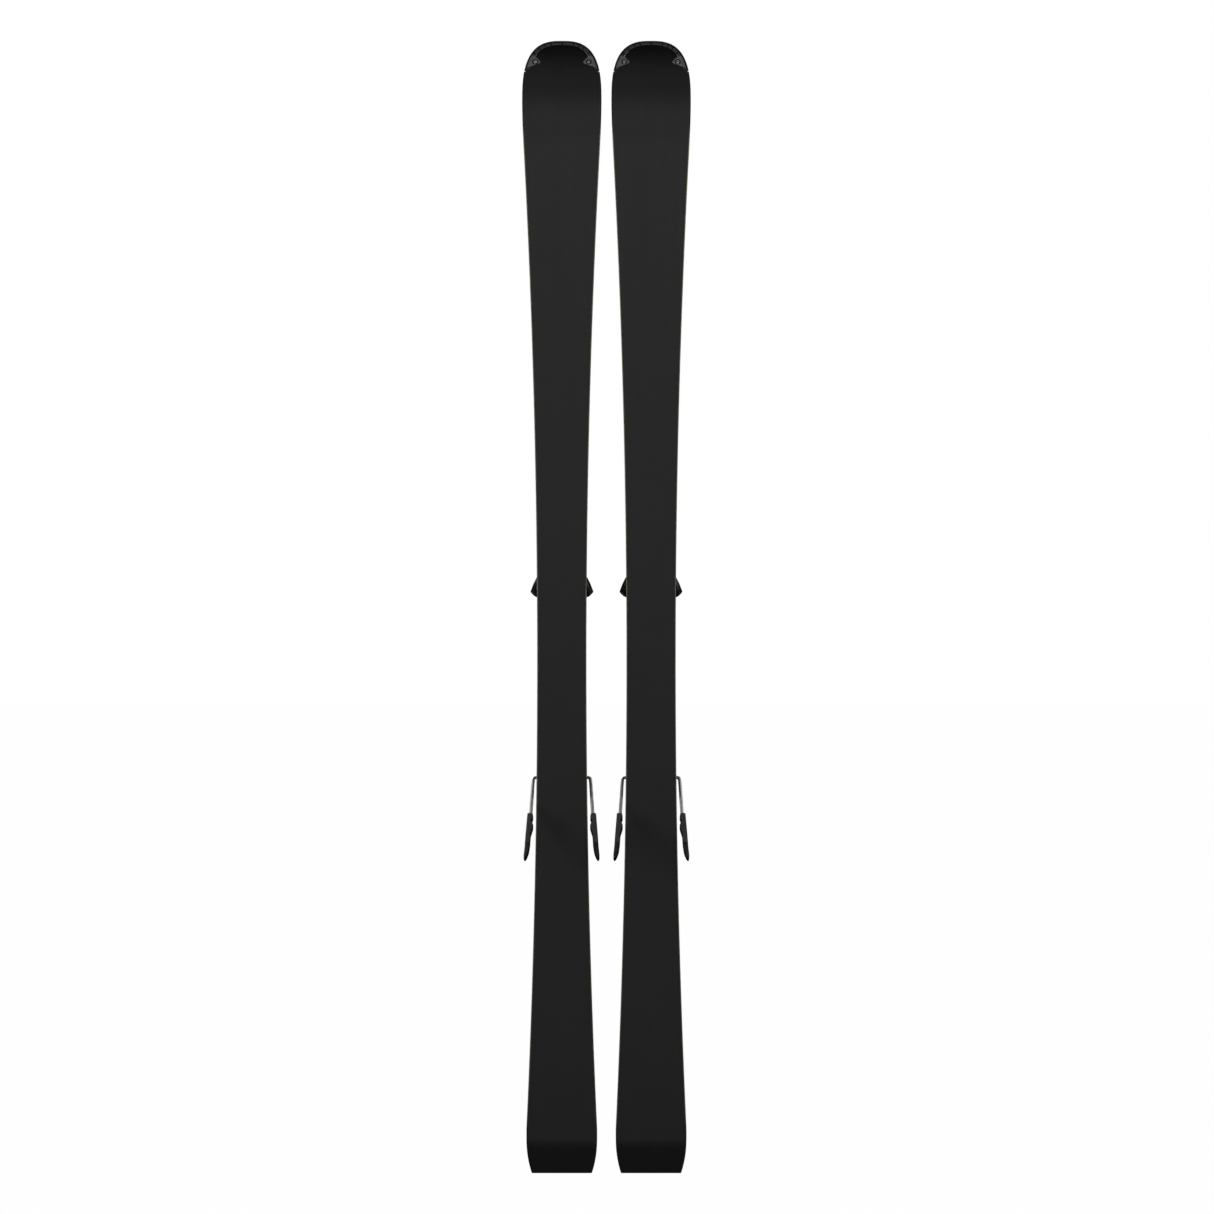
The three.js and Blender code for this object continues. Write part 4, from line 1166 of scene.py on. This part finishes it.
def make_heel_carriage():
    sled = box((-29, 29), (20.9, 24), (452, 650), 0.9, 4.0)
    gaps = [box((-11, 11), (19, 30), (440, 459), 0.3, 1.0),
            box((-13, 13), (22.6, 30), (592, 632), 0.4, 4.0)]
    gaps += [box((x - 1.3, x + 1.3), (22.9, 30), (594, 640), 0.2, 1.2) for x in (-24, -19, 19, 24)]
    sled = combined(sled, gaps)
    y, z = HEEL_PIN
    ear_line = [(SLED_ROOT, z - 15), *arc(HEEL_PIN, 11, -70, 140, 14), (SLED_ROOT, z + 15)]
    ears = side_plates(filleted(ear_line, 3, 3), 25.7, 29.6, 0.6)
    bearings = side_plates(filleted(BEARING_LINE, 2, 4), 20, 29, 0.6)
    posts = side_plates(filleted(POST_LINE, 1.5, 3), 8.1, 12.5, 0.5)
    carriage = combined(sled, [*ears, *bearings, *posts], "UNION")
    holes = [cross_rod(HEEL_PIN, CUT_REACH, PIN_HOLE), cross_rod(BRAKE_PIVOT, CUT_REACH, 3)]
    carriage = finish_with(combined(carriage, holes), "rail")
    fit_pair(carriage, "heel_sled", "heel_carriage", "binding_black", "heel_carriage")
    pin = turned([(0, 2.6), (0.7, 3.4), (58.1, 3.4), (58.8, 2.6)], (-29.4, y, z), (1, 0, 0), 28)
    fit_pair(finish_with(pin, "zinc"), "heel_axle", "heel_carriage", "zinc", "heel_pin")
    hinge = turned([(0, 1.4), (0.4, 1.8), (24.2, 1.8), (24.6, 1.4)], (-12.3, *PEDAL_HINGE), (1, 0, 0), 20)
    fit_pair(finish_with(hinge, "zinc"), "pedal_axle", "heel_carriage", "zinc")


def make_heel_housing():
    foot = arc(HEEL_PIN, 10.5, 110, 160, 10)
    body = slab(filleted(foot + HEEL_BODY, 5, 4), -25.2, 25.2, 2.4, in_profile, 5)
    cup = slab(filleted(HEEL_CUP, 5, 5), -33, 33, 5.5, in_profile, 6)
    housing = combined(body, [cup], "UNION")
    bore = turned([(0, 11.4), (17, 11.4), (20, 10.5), (74, 10.5)], (0, HEEL_BORE_Y, 467), (0, 0, 1), 40)
    window = box((-4, 4), (90, 99), (523, 545), 0.4, 2.5)
    holes = [cross_rod(HEEL_PIN, CUT_REACH, PIN_HOLE), cross_rod(LEVER_PIVOT, CUT_REACH, 2)]
    housing = combined(housing, [bore, window, *holes])
    fit_pair(finish_with(housing, "housing"), "heel_body", "heel_housing", "binding_gloss", "heel_housing")
    scale = scale_ticks((89.8, 90.4), (525.2, 526.0))
    fit_pair(finish_with(scale, "print"), "heel_scale", "heel_housing", "binding_grey")
    badges = merged(*side_plates(filleted(BADGE_LINE, 3, 4), 32, 33.5, 0.5))
    fit_pair(finish_with(badges, "lever"), "heel_inlays", "heel_housing", "binding_grey")


def make_heel_lever():
    cheeks = side_plates(arc(LEVER_PIVOT, 8.5, 180, -160, 10) + LEVER_CHEEK, 25.5, 29.6, 0.9)
    tongue = slab(filleted(LEVER_TONGUE, 4, 5), -30, 30, 3.5, in_profile, 5)
    notch = box((-13, 13), (112, 124), (450, 500), 0.5, 2)
    lever = combined(combined(tongue, cheeks, "UNION"), [notch])
    pin = cross_rod(LEVER_PIVOT, 30.3, 1.7, 0.3)
    ribs = []
    for left, right in ((-23, -15), (15, 23)):
        for y, z in [(113.4 + 3.2 * k, 494.4 - 2.9 * k) for k in range(4)]:
            ribs.append(rod((left, y, z), (right, y, z), 0.7, 0.3, 10))
    lever = finish_with(merged(lever, *ribs), "lever")
    fit_pair(lever, "step_lever", "heel_lever", "binding_grey", "heel_lever")
    fit_pair(finish_with(pin, "zinc"), "lever_axle", "heel_lever", "zinc")


def arm_point(out, along):
    """A point of a brake arm: tailward, down past the base, and a little outward."""
    y, z = BRAKE_PIVOT
    return Vector((out, y - along * math.tan(BRAKE_TILT), z - along))


def make_brake_wire(sizes):
    y, z = BRAKE_PIVOT
    half = [Vector(p) for p in ((12.6, y + 14, z + 14), (13.4, y, z), (41.4, y, z))]
    half += [arm_point(*ARM_START), arm_point(*ARM_END)]
    other = [Vector((-p.x, p.y, p.z)) for p in reversed(half)]
    wire = swept(bent([*other, *half], 5.0, 8), sizes.wire_radius / MM, 20)
    fit_pair(finish_with(wire, "wire"), "bent_wire", "brake", "wire_steel", "brake_wire")


def pad_section(side, along, rounding):
    """Section of a pad square to its arm. Past the step its face leans outward."""
    y, z = BRAKE_PIVOT
    sin, cos = math.sin(BRAKE_TILT), math.cos(BRAKE_TILT)
    inner, outer = flowing(PAD_INNER, along), flowing(PAD_OUTER, along)
    start_cap = ease((along - PAD_START) / 1.2)
    end_cap = ease((PAD_END - along) / 3.0)
    half_deep = PAD_HALF * (0.72 + 0.28 * min(start_cap, end_cap))
    roll = min(rounding, 0.42 * (outer - inner))
    lean = PAD_LEAN * ease((along - PAD_STEP[0]) / (PAD_STEP[1] - PAD_STEP[0]))
    corners = []
    for out, deep, turn in ((inner + roll, -half_deep + roll, 180), (outer - roll, -half_deep + roll, 270),
                            (outer - roll, half_deep - roll, 0), (inner + roll, half_deep - roll, 90)):
        corners += arc((out, deep), roll, turn, 90, 4)
    slant = along / cos
    ring = []
    for out, deep in corners:
        if deep < 0:
            deep += lean * max(0.0, out - inner - 1.0) * min(1.0, -deep / half_deep)
        ring.append((side * out, y + deep * cos - slant * sin, z - deep * sin - slant * cos))
    return ring


def make_brake_pads(sizes):
    length = PAD_END - PAD_START
    marks = [PAD_START + 0.15 * k for k in range(8)] + [PAD_START + length * k / 72 for k in range(2, 71)]
    marks += [PAD_END - 0.8, PAD_END - 0.3, PAD_END]
    face_normal = Vector((0, -math.cos(BRAKE_TILT), math.sin(BRAKE_TILT)))
    face_end = BRAKE_PIVOT[1] - PAD_STEP[0] + 3
    for word, side in SIDES:
        pad = skinned([pad_section(side, along, sizes.pad_round / MM) for along in sorted(marks)], 32)
        finish_with(pad, "pad", "pad_face")
        paint_faces(pad, 1, lambda c, n: n.dot(face_normal) > 0.93 and c.z > face_end)
        fit_pair(pad, f"pad_{word}", "brake", "brake_plastic", f"brake_pad_{word}")


def on_pedal(point, up):
    """Places a point of the pedal: (across, distance back from the hinge) and height over its plane."""
    y, z = PEDAL_HINGE
    sin, cos = math.sin(PEDAL_ANGLE), math.cos(PEDAL_ANGLE)
    return (point[0], y + up * cos + point[1] * sin, z + up * sin - point[1] * cos)


def make_pedal(sizes):
    tread = slab(filleted(TREAD_LINE, 7, 6), -2, 1.4, 0.7, on_pedal)
    slots = [slab(filleted(oblong((x - 4, x + 4), (13, 20)), 2.5, 4), -5, 5, 0.1, on_pedal)
             for x in (-12, 12)]
    tread = combined(tread, slots)
    ribs = [slab(filleted(oblong((-20, 20), (back, back + 2)), 0.9, 3), 1.0, 2.1, 0.35, on_pedal)
            for back in (26 + sizes.rib_pitch / MM * k for k in range(6))]
    tongue = slab(oblong((-7.4, 7.4), (-1.5, 10)), -2, 1.8, 0.4, on_pedal)
    knuckle = cross_rod(PEDAL_HINGE, 7.5, 3, 0.3)
    pedal = finish_with(merged(tread, tongue, knuckle, *ribs), "rail")
    fit_pair(pedal, "tread", "brake_pedal", "binding_black", "brake_pedal")


def make_length_latch():
    line = filleted([(24.4, 433), (27, 431.2), (29.8, 436), (30, 459)], 1.2, 3)
    latch = slab(line + arc(LATCH_PIVOT, 2.8, 0, 180, 8), -9.5, 9.5, 0.7, in_profile)
    ribs = [cross_rod((28.4 + 0.35 * k, 434.2 + 3 * k), 7.5, 0.6, 0.2, 10) for k in range(4)]
    latch = finish_with(merged(latch, *ribs), "lever")
    fit_pair(latch, "latch_lever", "length_latch", "binding_grey", "length_latch")


def finish_wood_cores():
    for prefix, _ in SIDES:
        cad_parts[f"{prefix}_wood_core"].material_slots[0].material = FINISH["core"]


# Stage, in metres.

FLOOR_RADII = (1.0, 60.0)
FLOOR_SIDES = 96
FLOOR_Z = -0.0005
BACK_STRIP_SHARE = 0.12


def soft_light(name, place, aim, size, power):
    """A softbox at a place, turned to a point of the skis."""
    lamp = bpy.data.lights.new(name, "AREA")
    lamp.shape = "RECTANGLE"
    lamp.size, lamp.size_y = size
    lamp.energy = power
    light = bpy.data.objects.new(name, lamp)
    bpy.context.collection.objects.link(light)
    light.location = place
    light.rotation_euler = (Vector(aim) - Vector(place)).to_track_quat("-Z", "Y").to_euler()
    light.visible_camera = False


def make_surroundings(brightness):
    """A white world that only the camera sees."""
    world = bpy.data.worlds.new("studio")
    bpy.context.scene.world = world
    world.use_nodes = True
    background = world.node_tree.nodes["Background"]
    background.inputs["Color"].default_value = WHITE
    background.inputs["Strength"].default_value = brightness
    world.cycles_visibility.diffuse = False
    world.cycles_visibility.glossy = False


def make_floor(brightness):
    """A white paper floor: a disc and a wide ring round it."""
    points = [(r * math.cos(a), r * math.sin(a), 0) for r in FLOOR_RADII for a in full_turn(FLOOR_SIDES)]
    faces = [tuple(range(FLOOR_SIDES))]
    for k in range(FLOOR_SIDES):
        after = (k + 1) % FLOOR_SIDES
        faces.append((k, FLOOR_SIDES + k, FLOOR_SIDES + after, after))
    mesh = bpy.data.meshes.new("floor")
    mesh.from_pydata(points, [], faces)
    floor = bpy.data.objects.new("floor", mesh)
    bpy.context.collection.objects.link(floor)
    floor.location.z = FLOOR_Z
    paper, nodes, shader = start_finish("floor_paper", roughness=0.9, emission_strength=brightness,
                                        base_color=BLACK, specular_ior_level=0.0)
    fibre = nodes.noise(nodes.place(), 30.0, 4.0)
    link(nodes, nodes.mix(fibre, WHITE, rgba((1, 1, 1), 0.985)), shader, "Emission Color")
    mesh.materials.append(paper)
    floor.visible_diffuse = False
    floor.visible_glossy = False
    floor.visible_shadow = False


def make_lights(stage):
    """Softboxes all round, for the bases, the wires' edges and the binding side."""
    middle, foot = (0, 0, 0.9), (0, 0, 0.55)
    soft_light("front_box", (0.3, -7, 3.2), middle, (5.0, 3.0), stage.front)
    soft_light("left_box", (-4.5, -2.5, 1.6), middle, (1.6, 3.6), stage.left)
    soft_light("right_box", (4.5, -1.5, 1.4), middle, (1.0, 3.2), stage.right)
    soft_light("high_left_box", (-2.8, 0.5, 3.9), foot, (3.4, 3.4), stage.high)
    soft_light("high_right_box", (2.8, 0.5, 3.9), foot, (3.4, 3.4), stage.high)
    soft_light("back_box", (-2.2, 5.5, 3.0), middle, (3.6, 3.0), stage.back)
    soft_light("back_strip", (3.4, 3.8, 1.2), middle, (0.8, 3.4), stage.back * BACK_STRIP_SHARE)
    soft_light("top_box", (0, 3.2, 5.2), middle, (2.6, 2.6), stage.top)


def make_stage(stage):
    make_surroundings(stage.backdrop)
    make_floor(stage.backdrop)
    make_lights(stage)
    view = bpy.context.scene.view_settings
    view.view_transform = "Standard"
    view.look = "None"


def make_camera(stage):
    """A level camera in front of the skis, square to their bases."""
    camera = bpy.data.cameras.new("camera")
    camera.sensor_width = 36
    camera.lens = stage.lens
    camera.clip_end = 200
    eye = bpy.data.objects.new("camera", camera)
    bpy.context.collection.objects.link(eye)
    eye.location = (stage.aside, -stage.distance, stage.height)
    eye.rotation_euler = (math.radians(90), 0, 0)
    bpy.context.scene.camera = eye


# Settings.

def colour_setting(name, description, value):
    return bpy.props.FloatVectorProperty(name=name, description=description, default=value, size=3, min=0,
                                         max=1, subtype="COLOR")


def size_setting(name, description, value):
    return bpy.props.FloatProperty(name=name, description=description, default=value, min=0.0001,
                                   unit="LENGTH")


def power_setting(name, description, value):
    return bpy.props.FloatProperty(name=name, description=description, default=value, min=0)


class SkiColours(bpy.types.PropertyGroup):
    base: colour_setting("Base", "Sintered base", (0.009, 0.009, 0.009))
    edge: colour_setting("Edge", "Ground steel edges", (0.2, 0.182, 0.14))
    # Dark brown painted shade in the groove between edge and base.
    groove: colour_setting("Edge groove", "Line between edge and base", (0.022, 0.014, 0.008))
    topsheet: colour_setting("Topsheet", "Ground colour of the print", (0.022, 0.023, 0.026))
    print_grey: colour_setting("Print grey", "Bands of the print and tick marks", (0.12, 0.124, 0.13))
    accent: colour_setting("Accent", "Thin print bands and markers", (0.42, 0.03, 0.02))
    core: colour_setting("Core", "Wood core", (0.42, 0.25, 0.11))
    guard: colour_setting("Guard face", "Flat face of the tip guard's band", (0.036, 0.036, 0.037))
    lug: colour_setting("Guard lug", "Lugs of the tip guard", (0.105, 0.105, 0.107))
    housing: colour_setting("Housing", "Housings, wings, sidewalls and guard rims", (0.008, 0.008, 0.0085))
    rail: colour_setting("Rail", "Rails, carriage and brake tread", (0.0125, 0.0125, 0.013))
    lever: colour_setting("Lever", "Heel lever, latch and inlays", (0.12, 0.122, 0.127))
    pad_rim: colour_setting("Pad rim", "Sides and ends of the brake pads", (0.004, 0.004, 0.004))
    pad_face: colour_setting("Pad face", "Outer face of the brake pads", (0.03, 0.03, 0.03))
    slide: colour_setting("Slide plate", "Plate under the boot's toe", (0.34, 0.345, 0.35))
    wire: colour_setting("Wire", "Brake wire, screws and band", (0.72, 0.72, 0.71))
    spring: colour_setting("Spring", "Coil springs", (0.3, 0.3, 0.31))


class SkiSizes(bpy.types.PropertyGroup):
    wire_radius: size_setting("Brake wire", "Radius of the bent brake wire", 0.0025)
    pad_round: size_setting("Pad rounding", "Rounding of the brake pads' long edges", 0.0023)
    spring_radius: size_setting("Spring", "Radius of a release spring's turns", 0.0083)
    spring_wire: size_setting("Spring wire", "Radius of the release springs' wire", 0.0014)
    spring_turns: bpy.props.IntProperty(name="Spring turns", description="Turns of a release spring",
                                        default=6, min=2, max=12)
    screw_head: size_setting("Screw head", "Radius of the rail screws' heads", 0.0036)
    slot_pitch: size_setting("Slot pitch", "Distance between the length band's slots", 0.013)
    rib_pitch: size_setting("Rib pitch", "Distance between the ribs of the brake tread", 0.005)
    rivet_radius: size_setting("Rivet", "Outer radius of the tip guard's rivets", 0.0025)


class StageSettings(bpy.types.PropertyGroup):
    lens: bpy.props.FloatProperty(name="Lens", description="Focal length of the camera in millimetres",
                                  default=243.5, unit="CAMERA")
    distance: size_setting("Distance", "From the camera to the skis", 12.0)
    height: size_setting("Height", "Camera above the floor", 0.8279)
    aside: bpy.props.FloatProperty(name="Aside", description="Camera to the right of the middle",
                                   default=0.0008, unit="LENGTH")
    backdrop: power_setting("Backdrop", "Brightness of floor and surroundings", 1.0)
    front: power_setting("Front", "Power of the front softbox in watts", 136.0)
    left: power_setting("Left", "Power of the left softbox in watts", 160.0)
    right: power_setting("Right", "Power of the right softbox in watts", 40.0)
    high: power_setting("High", "Power of each high side softbox in watts", 26.0)
    back: power_setting("Back", "Power of the back softbox in watts", 190.0)
    top: power_setting("Top", "Power of the top softbox in watts", 60.0)


# Operators.

class SKI_OT_finishes(bpy.types.Operator):
    """Make the finishes that every piece takes."""
    bl_idname = "ski.finishes"
    bl_label = "Finishes"

    def execute(self, context):
        make_finishes(context.scene.ski_colours)
        return {"FINISHED"}


class SKI_OT_running_base(bpy.types.Operator):
    """Make the running bases."""
    bl_idname = "ski.running_base"
    bl_label = "Running bases"

    def execute(self, context):
        make_running_base()
        return {"FINISHED"}


class SKI_OT_side_strips(bpy.types.Operator):
    """Make the steel edges and the sidewalls."""
    bl_idname = "ski.side_strips"
    bl_label = "Edges and sidewalls"

    def execute(self, context):
        make_side_strips()
        return {"FINISHED"}


class SKI_OT_topsheet(bpy.types.Operator):
    """Make the printed topsheets and finish the wood cores."""
    bl_idname = "ski.topsheet"
    bl_label = "Topsheets and cores"

    def execute(self, context):
        make_topsheet()
        finish_wood_cores()
        return {"FINISHED"}


class SKI_OT_guards(bpy.types.Operator):
    """Make the riveted tip guards and the tail guards."""
    bl_idname = "ski.guards"
    bl_label = "Guards"

    def execute(self, context):
        make_tip_guard(context.scene.ski_sizes)
        make_tail_guard()
        return {"FINISHED"}


class SKI_OT_rails(bpy.types.Operator):
    """Make the binding rails, their screws and the length band."""
    bl_idname = "ski.rails"
    bl_label = "Rails"

    def execute(self, context):
        make_rails(context.scene.ski_sizes)
        return {"FINISHED"}


class SKI_OT_toe_pieces(bpy.types.Operator):
    """Make the toe housings, their wings and the slide plates."""
    bl_idname = "ski.toe_pieces"
    bl_label = "Toe pieces"

    def execute(self, context):
        make_toe_housing()
        make_toe_wings()
        make_slide_plate()
        return {"FINISHED"}


class SKI_OT_release_parts(bpy.types.Operator):
    """Make the release springs, setting screws and markers."""
    bl_idname = "ski.release_parts"
    bl_label = "Release parts"

    def execute(self, context):
        make_release_parts(context.scene.ski_sizes)
        return {"FINISHED"}


class SKI_OT_heel_pieces(bpy.types.Operator):
    """Make the heel carriages, housings, levers and latches."""
    bl_idname = "ski.heel_pieces"
    bl_label = "Heel pieces"

    def execute(self, context):
        make_heel_carriage()
        make_heel_housing()
        make_heel_lever()
        make_length_latch()
        return {"FINISHED"}


class SKI_OT_brakes(bpy.types.Operator):
    """Make the brake wires, pads and pedals."""
    bl_idname = "ski.brakes"
    bl_label = "Brakes"

    def execute(self, context):
        sizes = context.scene.ski_sizes
        make_brake_wire(sizes)
        make_brake_pads(sizes)
        make_pedal(sizes)
        return {"FINISHED"}


class SKI_OT_stage(bpy.types.Operator):
    """Make the floor, the lights and the camera."""
    bl_idname = "ski.stage"
    bl_label = "Stage"

    def execute(self, context):
        make_stage(context.scene.ski_stage)
        make_camera(context.scene.ski_stage)
        return {"FINISHED"}


STEPS = (SKI_OT_finishes, SKI_OT_running_base, SKI_OT_side_strips, SKI_OT_topsheet, SKI_OT_guards,
         SKI_OT_rails, SKI_OT_toe_pieces, SKI_OT_release_parts, SKI_OT_heel_pieces, SKI_OT_brakes,
         SKI_OT_stage)


class SKI_PT_build(bpy.types.Panel):
    """Lists the settings and the steps of the build."""
    bl_idname = "SKI_PT_build"
    bl_label = "Alpine skis"
    bl_space_type = "VIEW_3D"
    bl_region_type = "UI"
    bl_category = "Skis"

    def draw(self, context):
        column = self.layout.column()
        for group in (context.scene.ski_sizes, context.scene.ski_colours, context.scene.ski_stage):
            for name in group.__annotations__:
                column.prop(group, name)
        for step in STEPS:
            column.operator(step.bl_idname)


CLASSES = (SkiColours, SkiSizes, StageSettings, *STEPS, SKI_PT_build)


def register():
    for part in CLASSES:
        bpy.utils.register_class(part)
    bpy.types.Scene.ski_colours = bpy.props.PointerProperty(type=SkiColours)
    bpy.types.Scene.ski_sizes = bpy.props.PointerProperty(type=SkiSizes)
    bpy.types.Scene.ski_stage = bpy.props.PointerProperty(type=StageSettings)


def unregister():
    del bpy.types.Scene.ski_stage
    del bpy.types.Scene.ski_sizes
    del bpy.types.Scene.ski_colours
    for part in reversed(CLASSES):
        bpy.utils.unregister_class(part)


def main():
    """Builds everything in order."""
    register()
    bpy.ops.ski.finishes()
    bpy.ops.ski.running_base()
    bpy.ops.ski.side_strips()
    bpy.ops.ski.topsheet()
    bpy.ops.ski.guards()
    bpy.ops.ski.rails()
    bpy.ops.ski.toe_pieces()
    bpy.ops.ski.release_parts()
    bpy.ops.ski.heel_pieces()
    bpy.ops.ski.brakes()
    bpy.ops.ski.stage()


if __name__ == "__main__":
    main()
